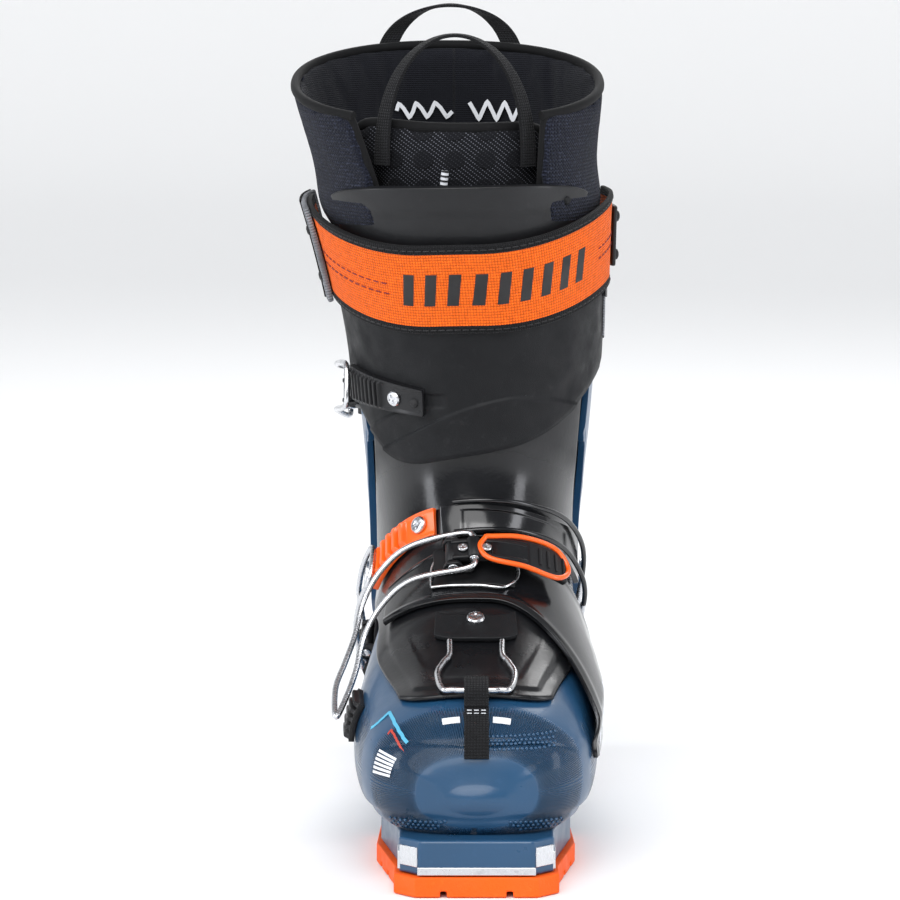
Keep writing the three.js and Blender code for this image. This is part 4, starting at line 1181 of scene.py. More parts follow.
def shin_detail(a, b, u, turn):
    ledge = 12.92 + 0.95 * ease(turn, -50, 22)
    facet = ease(ledge - u, 0.0, 0.035) * ease(turn, 56, 50) * ease(turn, -66, -56)
    notch = ridge(turn - (30 + 40 * (u - 12.6)), 3.0) * ease(u, 13.7, 13.4)
    tip = ease(turn, -20, -78) * 0.42 + 0.16
    strip = tip - np.abs(u - 13.86 + 0.004 * (turn + 45))
    pocket = ease(strip, 0, 0.05) * ease(turn, -12, -15) * ease(turn, -92, -86)
    edge = ease(u - shin_hem(turn), 0.0, 0.16)
    return PLATE_OUT - 0.6 * (1 - edge) + 1.0 * facet - 0.5 * notch * facet - 0.9 * pocket


shin = patch("shin_wall", shin_place, PLATE_IN, shin_detail, 150, 220, 0.6)
dress(shin, matte_black, "cuff", "shin_plate")
badge = patch("side_patch", lambda a, b: (mix(15.0, 15.9, a), mix(80, 92, b)), PLATE_OUT + 0.1,
              PLATE_OUT + 0.7, 10, 10, 0.25)
dress(badge, grey_webbing, "cuff")
flap = patch("side_flap", lambda a, b: (mix(15.55, 15.95, a), mix(78, 95, b)), PLATE_OUT + 0.7,
             PLATE_OUT + 1.5, 8, 12, 0.3)
dress(flap, satin_black, "cuff")


def ankle_bolt(name, side, node):
    """A bolt with a domed, rimmed head and a six-sided socket."""
    low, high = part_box(node)
    out = high.x if side > 0 else low.x
    length = (high.x - low.x) / MM
    centre = ((low.y + high.y) / 2, (low.z + high.z) / 2)
    body = lathe(name,
                 [(5, -length), (5, -2.5), (9, -2.5), (9, -1.2), (8.2, -0.3), (6.4, 0), (6.0, -0.5),
                  (4.2, -0.5)], 40)
    key = prism("key",
                [(2.7 * math.cos(k * math.pi / 3), 2.7 * math.sin(k * math.pi / 3))
                 for k in range(6)], -3, 2, 0)
    key.modifiers.clear()
    turn = Matrix.Rotation(side * math.pi / 2, 4, "Y")
    for part in (body, key):
        part.data.transform(Matrix.Translation((out, *centre)) @ turn)
    obj = carve(body, [key], 0.25)
    obj.name = name
    return dress(obj, bright_steel, "root", node)


ankle_bolt("ankle_bolt_steel_inner", 1, "ankle_bolt_inner")
ankle_bolt("ankle_bolt_steel_outer", -1, "ankle_bolt_outer")


def spine_top(a, b, u, turn):
    return CUFF_OUT + 3.0 - 0.9 * ridge(2 * b - 1, 0.35) * ease(a, 0.05, 0.12)


spine = patch("rear_spine_bar", lambda a, b: (mix(12.95, 16.2, a), 180 + (2 * b - 1) * (11 + 3 * a)),
              CUFF_OUT + 0.4, spine_top, 90, 24, 0.7)
dress(spine, satin_black, "cuff", "rear_spine")
spine_rivets = studs("rear_spine_rivets", *on_skin([13.3, 14.0, 16.0], [180.0] * 3, CUFF_OUT + 2.2),
                     dome_unit, bright_steel, 3.2)
dress(spine_rivets, bright_steel, "cuff")
print("cuff done")

# %% [markdown]
# ## The power strap
# The strap is one length of woven webbing, bound in black along both edges, with two rows of red stitches.
# Its stitches come from the studs tree. In the middle is a row of slanted printed bars.

# %% power strap
def strap_low(turn):
    return 15.0 + 0.75 * ease(np.abs(turn + 6), 10, 100)


def strap_high(turn):
    return 16.42 + 0.6 * ease(np.abs(turn + 6), 10, 100)


def strap_at(turn, share):
    return mix(strap_low(turn), strap_high(turn), share)


def strap_span(first, last, low=0.0, high=1.0):
    def place(a, b):
        turn = mix(first, last, b)
        return strap_at(turn, mix(low, high, a)), turn
    return place


strap = patch("power_strap_webbing", strap_span(-100, 108, 0.02, 0.98), STRAP_IN + 0.1, STRAP_OUT - 0.2, 16,
              200, 0.4)
dress(strap, orange_webbing, "cuff", "power_strap")
for side, (low, high) in {"lower": (0.0, 0.1), "upper": (0.9, 1.0)}.items():
    binding = patch("strap_binding_" + side, strap_span(-100.5, 108.5, low, high), STRAP_IN, STRAP_OUT, 6,
                    200, 0.7)
    dress(binding, hem_black, "cuff")


def stitch_row(name, share, first, last, pitch, finish, body="cuff", off=STRAP_OUT - 0.15, at=strap_at):
    """Stitches a fixed distance apart along a row that keeps its share of the strap's width."""
    turn = np.linspace(first, last, 600)
    line = proud(at(turn, share), turn, off + 0 * turn)
    run = np.concatenate([[0], np.cumsum(np.linalg.norm(np.diff(line, axis=0), axis=-1))]) / MM
    turn = np.interp(np.arange(pitch / 2, run[-1], pitch), run, turn)
    u = at(turn, share)
    along = proud(at(turn + 0.5, share), turn + 0.5, off + 0 * turn) - proud(u, turn, off + 0 * turn)
    obj = studs(name, proud(u, turn, off + 0 * turn), outward(u, turn), along, stitch_unit, finish, 1.0)
    return dress(obj, finish, body)


stitch_row("strap_stitches_a", 0.44, -98, -32, 4.6, thread_red)
stitch_row("strap_stitches_b", 0.55, -98, -32, 4.6, thread_red)
stitch_row("strap_stitches_c", 0.44, 62, 106, 4.6, thread_red)
stitch_row("strap_stitches_d", 0.55, 62, 106, 4.6, thread_red)
stitch_row("binding_stitches_lower", 0.05, -100, 108, 3.6, ink_black, off=STRAP_OUT)
stitch_row("binding_stitches_upper", 0.95, -100, 108, 3.6, ink_black, off=STRAP_OUT)


def printed_bar(k, turn):
    def place(a, b):
        t = turn + mix(-2.2, 2.2, b) + 2.4 * a
        return strap_at(t, mix(0.33, 0.68, a)), t
    return patch("bar_%d" % k, place, STRAP_OUT - 0.25, STRAP_OUT - 0.08, 8, 4, 0)


bars = joined("strap_print", [printed_bar(k, turn) for k, turn in enumerate(np.linspace(-25, 47, 9))])
dress(bars, ink_black, "cuff")
tail = patch("strap_tail_webbing", strap_span(-112, -80, -0.02, 1.02), STRAP_OUT + 0.4, STRAP_OUT + 3.0, 20,
             26, 0.9)
dress(tail, grey_webbing, "cuff", "strap_tail")
tail_cover = patch("strap_tail_cover", strap_span(-112.5, -91, -0.03, 1.03), STRAP_OUT + 2.9,
                   STRAP_OUT + 3.7, 14, 16, 0.4)
dress(tail_cover, hem_black, "cuff")
hook = patch("strap_hook_plastic", strap_span(92, 112, 0.18, 0.82), STRAP_OUT + 0.4, STRAP_OUT + 2.6, 16,
             20, 0.8)
dress(hook, satin_black, "cuff", "strap_hook")
nub_turn = np.array([-84.0, -84.0, 96.0, 96.0])
nub_share = np.array([0.25, 0.75, 0.3, 0.7])
nubs = studs("strap_nubs", *on_skin(strap_at(nub_turn, nub_share), nub_turn, STRAP_OUT + 2.7), dome_unit,
             satin_black, 2.6)
dress(nubs, satin_black, "cuff")
print("power strap done")

# %% [markdown]
# ## The liner
# The liner is soft foam under knit. Its foot and shaft are one tube that bends at the ankle. The part that
# shows, the collar and the tongue of the liner, is puffed by a short cloth simulation: we remesh a slightly
# thin copy, blow it up, hold each point within a few millimetres and keep the result.

# %% padding by cloth simulation
def pad(obj, voxel, cap):
    """Puffs a closed mesh with cloth pressure; no point moves more than cap millimetres."""
    remesh = obj.modifiers.new("even", "REMESH")
    remesh.mode = "VOXEL"
    remesh.voxel_size = voxel * MM
    name = obj.name
    even = joined(name + "_even", [obj])
    cloth = even.modifiers.new("puff", "CLOTH")
    cloth.settings.quality = 5
    cloth.settings.use_pressure = True
    cloth.settings.uniform_pressure_force = 4
    cloth.settings.effector_weights.gravity = 0
    cloth.point_cache.frame_start, cloth.point_cache.frame_end = 1, 20
    for step in range(1, 21):
        scene.frame_set(step)
    graph = bpy.context.evaluated_depsgraph_get()
    rest = np.array([v.co for v in even.data.vertices])
    puffed = np.array([v.co for v in even.evaluated_get(graph).data.vertices])
    moved = puffed - rest
    length = np.linalg.norm(moved, axis=-1, keepdims=True)
    capped = rest + moved * np.minimum(1, cap * MM / np.maximum(length, 1e-9))
    even.modifiers.remove(cloth)
    even.data.vertices.foreach_set("co", capped.astype(np.float32).ravel())
    scene.frame_set(1)
    finer = even.modifiers.new("finer", "SUBSURF")
    finer.levels = finer.render_levels = 1
    result = joined(name, [even])
    result.data.polygons.foreach_set("use_smooth", [True] * len(result.data.polygons))
    return result


def unroll(obj, centre):
    """UV in metres for a puffed piece: round the leg about the centre line, and up."""
    layer = obj.data.uv_layers.new(name="UVMap")
    points = np.array([v.co for v in obj.data.vertices])
    corner = np.zeros(len(obj.data.loops), int)
    obj.data.loops.foreach_get("vertex_index", corner)
    offset = points - np.array(centre)
    radius = float(np.hypot(offset[:, 0], offset[:, 1]).mean())
    uv = np.stack([np.arctan2(offset[:, 0], -offset[:, 1]) * radius, points[:, 2]], -1)
    layer.data.foreach_set("uv", uv[corner].astype(np.float32).ravel())
    return obj


# %% [markdown]
# The liner tube runs from the toes to the collar. It stands flat on the boot board and opens in front,
# where the liner's own tongue lies.

# %% liner tube
def liner_half(u):
    return 34 * ease(u, 12.1, 13.6)


def liner_place(a, b):
    u = mix(0.75, 16.9, a)
    half = liner_half(u)
    return u, half + (360 - 2 * half) * b


def liner_outer(a, b, u, turn):
    return mix(-0.9, LINER_OUT - 1.6, ease(u, 12.2, 14.4))


def liner_inner(a, b, u, turn):
    return liner_outer(a, b, u, turn) - mix(6.5, 5.2, ease(u, 12.2, 14.4))


def on_board(points, side):
    """The liner stands flat on the boot board."""
    points = points.copy()
    floor_height = (29.4 if side else 33.4) * MM
    points[..., 2] = np.maximum(points[..., 2], floor_height)
    return points


liner = patch("liner_tube", liner_place, liner_inner, liner_outer, 130, 90, 0, edit=on_board)
liner = joined("liner_tube", [liner])
liner.data.materials.append(neoprene.mat)
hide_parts("liner_foot")
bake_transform(liner)


# %% [markdown]
# The collar is the part of the tube that shows. We puff it and the tongue pad, then bind their edges with
# rolled tape, because a cut edge of foam is never left open.

# %% collar and liner tongue
def collar_outer(a, b, u, turn):
    return LINER_OUT - 1.6 + 0.8 * np.sin(math.pi * a) + 4.5 * ridge(a - 0.22, 0.16)


def collar_inner(a, b, u, turn):
    return collar_outer(a, b, u, turn) - mix(4.2, 3.4, a) - 4.5 * ridge(a - 0.22, 0.16)


collar = patch("liner_collar", lambda a, b: (mix(16.3, 18.95, a), mix(35, 325, b)),
               collar_inner, collar_outer, 30, 110, 0)
collar = pad(collar, 2.6, 1.6)
unroll(collar, proud(17.6, 0, 0) * 0.5 + proud(17.6, 180.0, 0) * 0.5)
collar.data.materials.append(liner_knit.mat)
collar.data.materials.append(neoprene.mat)
collar_centre = (proud(17.6, 0, 0) + proud(17.6, 180.0, 0)) / 2
for face in collar.data.polygons:
    away = Vector((face.center.x - collar_centre[0], face.center.y - collar_centre[1], 0))
    face.material_index = 1 if face.normal.dot(away) < 0 else 0
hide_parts("liner_cuff")
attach(collar, "cuff")


def edge_line(u_rule, first, last, off, count=160):
    turn = np.linspace(first, last, count)
    u = u_rule(turn)
    return proud(u, turn, off + 0 * turn)


piping = wire("collar_piping", edge_line(lambda t: 18.93 + 0 * t, 35, 325, LINER_OUT - 3.0), 2.1, hem_black)
dress(piping, None, "cuff")
for side, turn in {"outer": -37.0, "inner": 37.0}.items():
    u = np.linspace(16.6, 18.93, 60)
    dress(wire("collar_edge_" + side, proud(u, turn + 0 * u, LINER_OUT - 3.0 + 0 * u), 1.9, hem_black),
          None, "cuff")


def peak_line(k, count=13):
    """A plain zigzag of mountain peaks, printed on the lining behind the leg."""
    t = np.linspace(0, 1, count)
    return np.stack([17.75 + 0.5 * np.abs(((t * 3 + 0.3 * k) % 1) - 0.5), 150 + 30 * k + 24 * t], -1)


for k in (0, 1):
    line = peak_line(k)
    fine = np.concatenate([np.linspace(p, q, 5, endpoint=False) for p, q in zip(line[:-1], line[1:])])
    film("lining_peaks_%d" % k, fine, 1.8, LINER_OUT - 7.3, ink_white, "cuff")
tag = patch("liner_tag", lambda a, b: (mix(17.35, 17.7, a), mix(-94, -90, b)), LINER_OUT + 0.2,
            LINER_OUT + 0.9, 4, 4, 0.2)
dress(tag, ink_white, "cuff")


def dome_edge(b):
    return 18.66 - 0.9 * np.abs(2 * b - 1) ** 2.5


dome = patch("liner_tongue_pad", lambda a, b: (mix(14.1, dome_edge(b), a), mix(-57, 57, b)),
             -13.2, lambda a, b, u, turn: -11.2 + 1.5 * a + 1.2 * np.sin(math.pi * b), 44, 60, 0)
dome = pad(dome, 2.4, 2.2)
unroll(dome, proud(17.6, 0, 0) * 0.5 + proud(17.6, 180.0, 0) * 0.5)
dome.data.materials.append(dotted_mesh.mat)
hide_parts("liner_tongue")
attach(dome, "cuff")
b_line = np.linspace(0.02, 0.98, 120)
hem_line = proud(dome_edge(b_line) + 0.02, mix(-57, 57, b_line), -11.2 + 0 * b_line)
dress(wire("tongue_pad_hem", hem_line, 2.3, hem_black), None, "cuff")
lace_t = np.linspace(0, 1, 26)
lace = proud(17.42 - 0.42 * lace_t, -4 - 3 * lace_t, -8.4 + 1.6 * lace_t)
dress(wire("tongue_lace_end", lace, 1.7, thread_white), None, "cuff")
lace_stripes = [wire("lace_stripe", lace[5 * k:5 * k + 3], 1.85, ink_black) for k in range(5)]
dress(joined("tongue_lace_stripes", lace_stripes), None, "cuff")
print("liner done")

# %% [markdown]
# ## Pull loops
# Two loops of black webbing help the boot on, one behind the leg and one on the liner's tongue. A loop rises
# from its two sewn ends in a flattened arch, and its band turns so that its face always looks at the leg.

# %% pull loops
def pull_loop(name, u, turn, off, rise, width, facing, node):
    left, right = proud(u, -turn, off), proud(u, turn, off)
    across = skin(u, turn + 1) - skin(u, turn - 1)
    slope = abs(across[1] / across[0])
    angle = np.linspace(0, math.pi, 81)
    share = (1 - np.cos(angle)) / 2
    line = left + (right - left) * share[:, None] + np.array(rise) * MM * (np.sin(angle) ** 0.8)[:, None]
    flat = np.abs(np.cos(angle))
    widths = np.stack([-facing * np.cos(angle), -np.sin(angle) + facing * slope * flat, 0 * angle], -1)
    loop = band(name, line, widths, width, 1.6, black_webbing)
    dress(loop, None, "cuff", node)
    return line


pull_loop("rear_pull_webbing", 18.4, 157, LINER_OUT + 3.2, (0, 5, 32), 9, 1, "rear_pull_loop")
pull_loop("tongue_pull_webbing", 17.5, 34, -4.2, (0, -12, 58), 8, -1, "tongue_pull_loop")

# %% [markdown]
# ## Straps, ladders and plates over the foot
# A ladder is a strip with teeth that the buckle's wire catches. Each tooth is a ramp and a step, so the same
# small function of the place along the strip makes all three.

# %% ladders, rack and foot straps
def tooth(x, count):
    """A ramp with a steep back, count times along x."""
    phase = (x * count) % 1
    return ease(phase, 0.0, 0.25) * (1 - ease(phase, 0.55, 1.0))


def ladder(name, first, last, u_rule, half, low, rest, teeth_from, count, height, finish, body, node):
    def place(a, b):
        turn = mix(first, last, b)
        return u_rule(turn) + (2 * a - 1) * half, turn

    def top(a, b, u, turn):
        inside = ease(1 - np.abs(2 * a - 1), 0.10, 0.26)
        teeth = height * tooth(b, count) * ease(b, teeth_from - 0.02, teeth_from + 0.02) * inside
        frame_bar = 0.5 * (1 - inside)
        return low + rest + teeth + frame_bar

    obj = patch(name, place, low, top, 24, 260, 0.4)
    return dress(obj, finish, body, node)


ladder("cuff_ladder_strip", -22, -70, lambda t: 13.72 + 0.012 * (-t - 20), 0.27, STRAP_IN, 2.2, 0.45, 16,
       1.8,
       satin_black, "cuff", "cuff_ladder")
ladder("instep_ladder_strip", -17, -60, lambda t: 9.45 - 0.004 * (-t - 17), 0.72, FOOT_STRAP_IN, 2.2, 0.33,
       9, 2.6,
       orange_plastic, "root", "instep_ladder")
ladder("forefoot_rack_strip", -64, -86, lambda t: 4.55 + 0 * t, 0.34, SHELL_OUT + 0.4, 2.0, 0.0, 5, 2.6,
       satin_black, "root", "forefoot_rack")
screw_turn = np.array([-36.0])
cuff_screw = studs("cuff_ladder_steel_screw",
                   *on_skin(13.72 + 0.012 * 16 + 0 * screw_turn, screw_turn, STRAP_IN + 2.2),
                   screw_unit, bright_steel, 3.5)
dress(cuff_screw, bright_steel, "cuff", "cuff_ladder_screw")
instep_screw = studs("instep_steel_screw", *on_skin([9.42], [-24.0], FOOT_STRAP_IN + 2.6), screw_unit,
                     bright_steel, 4.0)
dress(instep_screw, bright_steel, "root", "instep_ladder_screw")
spare_hole = studs("spare_hole_rim", *on_skin([13.78], [-26.0], STRAP_IN + 2.1), dome_unit, ink_black, 2.1)
dress(spare_hole, ink_black, "cuff")


def instep_top(a, b, u, turn):
    inset = ease(np.abs(2 * a - 1), 0.62, 0.7)
    sunk = (1 - inset) * ease(b, 0.1, 0.13) * ease(b, 0.8, 0.77)
    return FOOT_STRAP_IN + 2.4 - 0.7 * sunk


instep = patch("instep_strap_plate",
               lambda a, b: (mix(8.45, 10.15, a) + 0.9 * ease(mix(-14, 66, b), 20, 70), mix(-14, 66, b)),
               FOOT_STRAP_IN, instep_top, 60, 120, 0.5)
dress(instep, gloss_black, "root", "instep_plate")


def foot_strap_place(a, b):
    turn = mix(-42, 86, b)
    low = mix(5.95, 3.2, ease(turn, 5, 84))
    high = mix(7.35, 8.1, ease(turn, -43, 0)) - 2.6 * ease(turn, 58, 88)
    return mix(low, high, a), turn


def foot_strap_in(a, b, u, turn):
    return mix(FOOT_STRAP_IN, SHELL_OUT + 0.4, ease(turn, 66, 80))


def foot_strap_out(a, b, u, turn):
    bead = ridge(a - 0.07, 0.035) + ridge(a - 0.93, 0.035)
    return foot_strap_in(a, b, u, turn) + 2.0 + 0.4 * bead


foot_strap = patch("forefoot_strap_plate", foot_strap_place, foot_strap_in, foot_strap_out, 70, 150, 0.6)
dress(foot_strap, gloss_black, "root", "forefoot_strap")
for k in range(3):
    streak = np.stack([np.linspace(5.1 - 0.35 * k, 4.4 - 0.35 * k, 12),
                       np.linspace(66 + 4 * k, 78 + 2 * k, 12)], -1)
    in_off = mix(FOOT_STRAP_IN, SHELL_OUT + 0.4, ease(streak[:, 1], 66, 80)) + 2.08
    film("foot_strap_streak_%d" % k, streak, 1.8, in_off, ink_white, "root")
anchor = patch("wire_anchor_block", lambda a, b: (mix(8.95, 10.15, a), mix(79, 88, b)), SHELL_OUT + 0.4,
               SHELL_OUT + 2.8, 16, 12, 0.7)
dress(anchor, satin_black, "root", "instep_wire_anchor")
WIRE_OFF = FOOT_STRAP_IN + 4.3
ANCHOR_OFF = SHELL_OUT + 4.4
upper_wire = [(10.3, -8, WIRE_OFF), (10.45, 20, WIRE_OFF), (10.8, 50, WIRE_OFF), (10.6, 70, WIRE_OFF),
              (9.95, 84, ANCHOR_OFF)]
lower_wire = [(8.6, -8, WIRE_OFF), (8.9, 25, WIRE_OFF), (9.3, 52, WIRE_OFF), (9.3, 70, WIRE_OFF),
              (9.15, 84, ANCHOR_OFF)]
for side, places in {"upper": upper_wire, "lower": lower_wire}.items():
    coated = wire("instep_coated_wire_" + side, route(places, 12), 1.2, gloss_black)
    dress(coated, None, "root", "instep_wire_" + side)
    tip = wire("instep_wire_tip_" + side, route(places[-2:], 12)[5:], 1.45, bright_steel)
    dress(tip, None, "root")
print("straps done")

# %% [markdown]
# ## Buckles
# All three buckles follow one rule. A base carries a pin; a curved lever turns on the pin; a wire bail
# hangs in the lever's eye and hooks into the ladder. Each is drawn in the buckle's own axes, x towards the
# ladder and z out of the boot, and set down by its seat on the last.

# %% buckles
PIN_HEIGHT = 5.0
LEVER_WIDTH = 11.4
CHEEK = LEVER_WIDTH / 2 + 0.3
WALL = CHEEK + 2.0
UPRIGHT = Matrix(((1, 0, 0, 0), (0, 0, -1, 0), (0, 1, 0, 0), (0, 0, 0, 1)))


def side_piece(name, profile, y0, y1, seat_at, bevel, segments=3):
    """A profile in x and z, from y0 to y1 along the hinge."""
    return prism(name, profile, -y1, -y0, bevel, seat_at @ UPRIGHT, segments)


def arc_profile(radius, inner, outer, first, last, centre, steps=18):
    angles = np.linspace(math.pi / 2 + first, math.pi / 2 + last, steps)
    top = [(math.cos(t) * (radius + outer), centre + math.sin(t) * (radius + outer)) for t in angles]
    low = [(math.cos(t) * (radius + inner), centre + math.sin(t) * (radius + inner)) for t in angles[::-1]]
    return top + low


def pin(name, radius, y0, y1, x, z, seat_at, sides=28):
    rod = lathe(name,
                [(radius - 0.25, 0), (radius, 0.25), (radius, y1 - y0 - 0.25),
                 (radius - 0.25, y1 - y0)], sides)
    along_hinge = Matrix.Rotation(-math.pi / 2, 4, "X")
    rod.data.transform(seat_at @ Matrix.Translation((x * MM, y0 * MM, z * MM)) @ along_hinge)
    rod.data.polygons.foreach_set("use_smooth", [True] * len(rod.data.polygons))
    return rod


def painted(obj, finish):
    obj.data.materials.clear()
    obj.data.materials.append(finish.mat)
    return obj


def buckle(name, place, pull, length, radius, hook, base_body, reach=1.0, accent=None):
    seat_at = seat(*place, pull)
    plate = [(-9, -WALL + 1.5), (-7.5, -WALL), (7.5, -WALL), (9, -WALL + 1.5),
             (9, WALL - 1.5), (7.5, WALL), (-7.5, WALL), (-9, WALL - 1.5)]
    cheek = [(-4.6, 0.4), (4.6, 0.4), (4.2, 5.6), (2.4, 7.9), (-2.4, 7.9), (-4.2, 5.6)]
    parts = [painted(prism("plate", plate, 0, 1.6, 0.4, seat_at), satin_black)]
    for y0, y1 in ((CHEEK, WALL), (-WALL, -CHEEK)):
        parts.append(painted(side_piece("cheek", cheek, y0, y1, seat_at, 0.5), satin_black))
    parts.append(painted(pin("axle", 1.5, -WALL - 0.3, WALL + 0.3, 0, PIN_HEIGHT, seat_at), bright_steel))
    parts.append(painted(pin("axle_head", 2.3, WALL - 0.1, WALL + 0.7, 0, PIN_HEIGHT, seat_at),
                         bright_steel))
    parts.append(painted(pin("axle_foot", 2.3, -WALL - 0.7, -WALL + 0.1, 0, PIN_HEIGHT, seat_at),
                         bright_steel))
    dress(joined(name + "_buckle_base", parts), None, base_body, name + "_base")

    centre = PIN_HEIGHT + 0.6 - radius
    sweep = length / radius
    half = LEVER_WIDTH / 2
    far = sweep * reach
    arm = [side_piece("web", arc_profile(radius, 0, 2.5, 0, far, centre), -half + 1, half - 1, seat_at,
                      0.4)]
    for y0, y1 in ((half - 2.2, half), (-half, -half + 2.2)):
        arm.append(side_piece("rail", arc_profile(radius, 0, 3.4, 0, far, centre), y0, y1, seat_at, 0.7))
    arm.append(side_piece("tip", arc_profile(radius, 0.4, 3.8, far * 0.66, far * 1.06, centre), -half - 2.4,
                          half + 2.4,
                          seat_at, 1.2))
    for k in range(4):
        at = far * (0.76 + 0.08 * k)
        arm.append(side_piece("grip", arc_profile(radius, 3.4, 4.4, at, at + 1.3 / radius, centre, 4),
                              -half + 0.6,
                              half - 0.6, seat_at, 0.35))
    arm.append(pin("hub", 3.2, -half, half, 0, PIN_HEIGHT, seat_at))
    turn = 9.5 / radius
    eye = (-math.sin(turn) * (radius + 2.0), centre + math.cos(turn) * (radius + 2.0))
    arm.append(pin("eye", 3.0, -half, half, *eye, seat_at))
    arm = [painted(part, satin_black) for part in arm]
    for y0, y1 in ((half - 0.2, half + 0.35), (-half - 0.35, -half + 0.2)):
        arm.append(painted(pin("stud", 2.1, y0, y1, *eye, seat_at), bright_steel))
    if accent is not None:
        across = half + 0.6
        outline = [(0.3, -across), (0.62, -across - 2.6), (0.95, -across - 2.2), (1.07, 0),
                   (0.95, across + 2.2), (0.62, across + 2.6), (0.3, across), (0.24, 0)]
        ring = [(far * share, y) for share, y in outline]
        arm.append(painted(side_piece("pad", arc_profile(radius, 1.4, 3.3, far * 0.34, far * 1.0, centre),
                                      -half - 2.4, half + 2.4, seat_at, 0.9), gloss_black))
        path = [seat_at @ (Vector((-math.sin(t) * (radius + 3.9), y,
                                   centre + math.cos(t) * (radius + 3.9))) * MM)
                for t, y in ring + ring[:1]]
        arm.append(wire("accent", smooth_line(path, 8), 1.15, accent))
        heads = [seat_at @ (Vector((-math.sin(t) * (radius + 3.2), 0,
                                    centre + math.cos(t) * (radius + 3.2))) * MM)
                 for t in (far * 0.1, far * 0.3)]
        out = [seat_at.to_3x3() @ Vector((-math.sin(t), 0, math.cos(t))) for t in (far * 0.1, far * 0.3)]
        arm.append(studs("heads", heads, out, [seat_at.to_3x3() @ Vector((0, 1, 0))] * 2, screw_unit,
                         bright_steel, 2.3))
    dress(joined(name + "_buckle_lever", arm), None, name + "_lever", name + "_lever")

    inside = seat_at.inverted()
    dense = smooth_line(hook, 10)
    picked = dense[np.linspace(0, len(dense) - 1, 6).round().astype(int)]
    legs = [inside @ Vector(p) / MM for p in proud(*picked.T)]
    spread, bend = half + 2 + 0.4 + WIRE + 1, 2
    out_leg = [(p.x, p.y + spread, p.z) for p in legs[:-1]]
    back_leg = [(p.x, p.y - spread, p.z) for p in legs[-2::-1]]
    last = legs[-1]
    line = [(eye[0], half - 0.4, eye[1]), (eye[0], spread - bend, eye[1]),
            (eye[0] + bend, spread, eye[1])] + out_leg
    line += [(last.x, last.y + spread - bend, last.z), (last.x, last.y - spread + bend, last.z)] + back_leg
    line += [(eye[0] + bend, -spread, eye[1]), (eye[0], -spread + bend, eye[1]),
             (eye[0], -half + 0.4, eye[1])]
    path = [seat_at @ (Vector(p) * MM) for p in line]
    bail_wire = wire(name + "_buckle_bail", smooth_line(path, 8), WIRE, bright_steel)
    dress(bail_wire, None, name + "_bail", name + "_bail")


buckle("cuff", (14.35, -104, CUFF_OUT + 0.4), 1, 30, 52,
       [(14.35, -92, CUFF_OUT + 10), (14.32, -80, CUFF_OUT + 10), (14.28, -64, STRAP_IN + 7)], "cuff")
buckle("instep", (8.9, -88, SHELL_OUT + 0.4), 1, 32, 75,
       [(9.0, -76, SHELL_OUT + 11), (9.1, -66, SHELL_OUT + 11.5), (9.2, -54, FOOT_STRAP_IN + 6.2)], "root")
buckle("forefoot", (7.15, -8, FOOT_STRAP_OUT + 1.2), -1, 34, 60,
       [(6.9, -24, FOOT_STRAP_OUT + 9), (6.3, -44, FOOT_STRAP_OUT + 7), (5.3, -60, SHELL_OUT + 8.6),
        (4.6, -72, SHELL_OUT + 10.6)], "root", 1.45, orange_plastic)
bracket = patch("forefoot_bracket", lambda a, b: (mix(6.35, 7.75, a), mix(-17, 15, b) + 3 * a),
                FOOT_STRAP_OUT + 0.05,
                FOOT_STRAP_OUT + 1.2, 16, 24, 0.4)
dress(bracket, satin_black, "root")
rim_places = [(6.35, -17), (6.9, -17.5), (7.6, -13), (7.7, 0), (7.6, 15), (6.9, 17), (6.35, 12), (6.3, 0),
              (6.35, -17)]
rim = wire("forefoot_bracket_rim", route([(u, turn, FOOT_STRAP_OUT + 1.2) for u, turn in rim_places], 8),
           0.65, bright_steel)
dress(rim, None, "root")
print("buckles done")

# %% [markdown]
# ## The walk lever
# Behind the leg a steel lever locks the cuff for the descent. It turns on a pin in a black yoke on the spine.

# %% walk lever
walk_seat = seat(15.1, 180, CUFF_OUT + 3.4, 1, 90)
yoke = [painted(prism("foot", [(-7, -10.5), (7, -10.5), (7, 10.5), (-7, 10.5)], 0, 1.6, 0.4, walk_seat),
                satin_black)]
for y0, y1 in ((8.3, 10.5), (-10.5, -8.3)):
    yoke.append(painted(side_piece("ear", [(-4, 0.5), (4, 0.5), (3.6, 6.2), (0, 8), (-3.6, 6.2)], y0, y1,
                                   walk_seat, 0.5), satin_black))
yoke.append(painted(pin("axle", 1.5, -10.9, 10.9, 0, 5, walk_seat), bright_steel))
dress(joined("walk_yoke", yoke), None, "cuff", "walk_lever_base")
blade = [prism("blade", [(-2, -8), (40, -8), (46, -6), (46, 6), (40, 8), (-2, 8)], 5.6, 8.6, 0.8, walk_seat,
               3)]
blade.append(prism("finger", [(38, -6), (48, -6), (50, -4), (50, 4), (48, 6), (38, 6)], 6.0, 10, 1.0,
                   walk_seat, 3))
blade.append(pin("hub", 3.2, -8, 8, 0, 5, walk_seat))
blade = [painted(part, bright_steel) for part in blade]
for k in range(5):
    blade.append(painted(prism("rib",
                               [(14 + 4 * k, -4.5), (15.6 + 4 * k, -4.5), (15.6 + 4 * k, 4.5),
                                (14 + 4 * k, 4.5)],
                               8.4, 9.2, 0.3, walk_seat), satin_black))
dress(joined("walk_lever_steel", blade), None, "walk_lever", "walk_lever")
print("walk lever done")

# %% [markdown]
# ## Camera
# The camera stands low in front of the toe and far away, so the boot's sides stay nearly parallel.

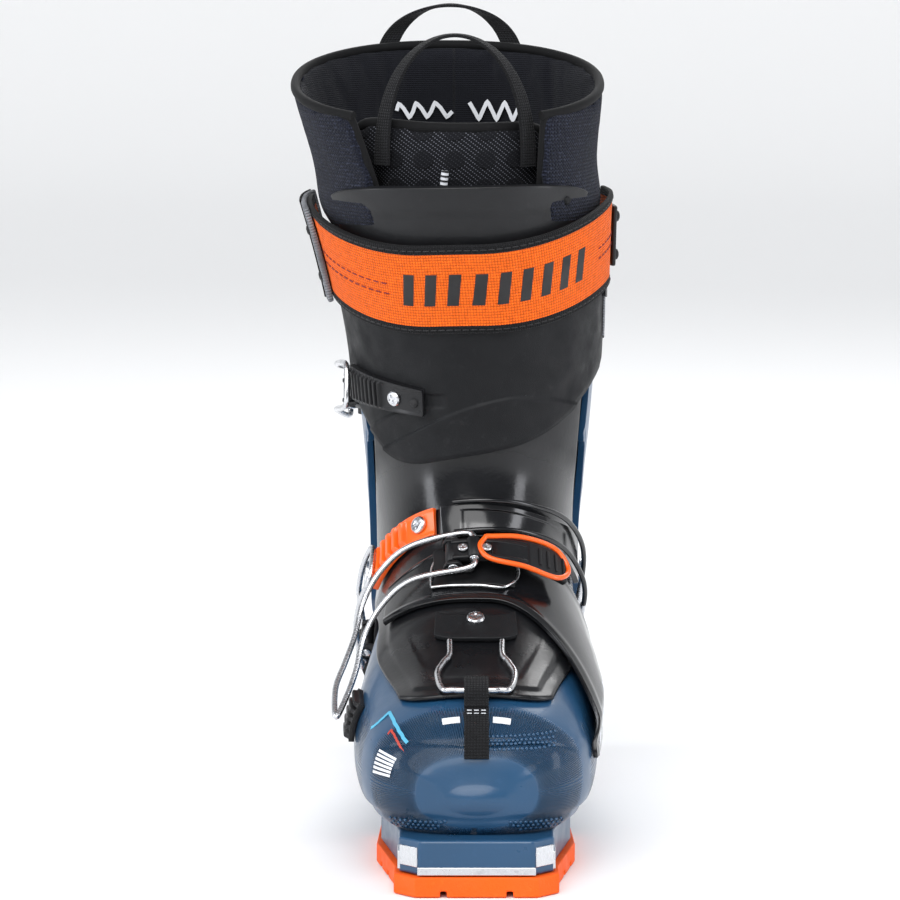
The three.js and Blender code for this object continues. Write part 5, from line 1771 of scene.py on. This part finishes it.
# %% camera
target = Vector((-0.0012, 0, 0.1688))
camera_data = bpy.data.cameras.new("camera")
camera_data.lens = 206.5
camera_data.sensor_width = 36
camera_data.dof.use_dof = False
camera_data.clip_end = 30
camera = bpy.data.objects.new("camera", camera_data)
scene.collection.objects.link(camera)
tilt = math.radians(8)
camera.location = target + 2.3 * Vector((0, -math.cos(tilt), math.sin(tilt)))
camera.rotation_euler = (target - camera.location).to_track_quat("-Z", "Y").to_euler()
scene.camera = camera
scene.view_settings.view_transform = "Standard"
print("camera at", [round(v, 3) for v in camera.location])

# %% [markdown]
# ## Floor and light
# A pale floor curves up into a backdrop far behind, so there is no horizon. A soft sun lights all of it
# evenly. Softboxes at both sides draw the long highlights that show how glossy the plastic is.

# %% floor and light
floor_finish = Finish("pale_floor", (0.88, 0.885, 0.89), 0.8)
floor_finish.set(floor_finish.shader, "Specular IOR Level", 0.1)
floor_finish.rough(floor_finish.spread(floor_finish.noise(3, 2), 0.3, 0.7, 0.72, 0.85))
bend = np.linspace(0, math.pi / 2, 24)
sweep_y = np.concatenate([[-6], 3 + 2 * np.sin(bend), [5]])
sweep_z = np.concatenate([[0], 2 - 2 * np.cos(bend), [7]])
floor_verts = [(x, y, z) for y, z in zip(sweep_y, sweep_z) for x in (-9, 9)]
floor_faces = [(2 * k, 2 * k + 1, 2 * k + 3, 2 * k + 2) for k in range(len(sweep_y) - 1)]
floor = mesh_object("studio_floor", floor_verts, floor_faces)
floor.data.polygons.foreach_set("use_smooth", [True] * len(floor.data.polygons))
floor.location.z = cad_box[0][2] - 0.0003
floor.data.materials.append(floor_finish.mat)


def aimed(light, place, aim=(0, 0, 0.18)):
    light.location = place
    light.rotation_euler = (Vector(aim) - Vector(place)).to_track_quat("-Z", "Y").to_euler()
    scene.collection.objects.link(light)


def softbox(name, place, size, power, colour=(1, 1, 1)):
    data = bpy.data.lights.new(name, "AREA")
    data.shape = "RECTANGLE"
    data.size, data.size_y = size
    data.energy = power
    data.color = colour
    aimed(bpy.data.objects.new(name, data), place)


softbox("key_above", (0.25, -1.1, 1.7), (0.9, 0.7), 11)
softbox("strip_outer", (-1.15, -0.35, 0.55), (0.35, 1.3), 9, (0.93, 0.95, 1.0))
softbox("strip_inner", (1.15, -0.35, 0.5), (0.35, 1.3), 8, (0.94, 0.95, 1.0))
softbox("rim_back", (0.2, 1.3, 1.2), (1.0, 0.5), 8)
sun_data = bpy.data.lights.new("soft_sun", "SUN")
sun_data.energy = 2.0
sun_data.angle = math.radians(50)
aimed(bpy.data.objects.new("soft_sun", sun_data), (-0.4, -1.6, 1.5))
world = bpy.data.worlds.new("studio")
world.use_nodes = True
world.node_tree.nodes["Background"].inputs["Color"].default_value = (0.95, 0.965, 1.0, 1)
world.node_tree.nodes["Background"].inputs["Strength"].default_value = 0.3
scene.world = world
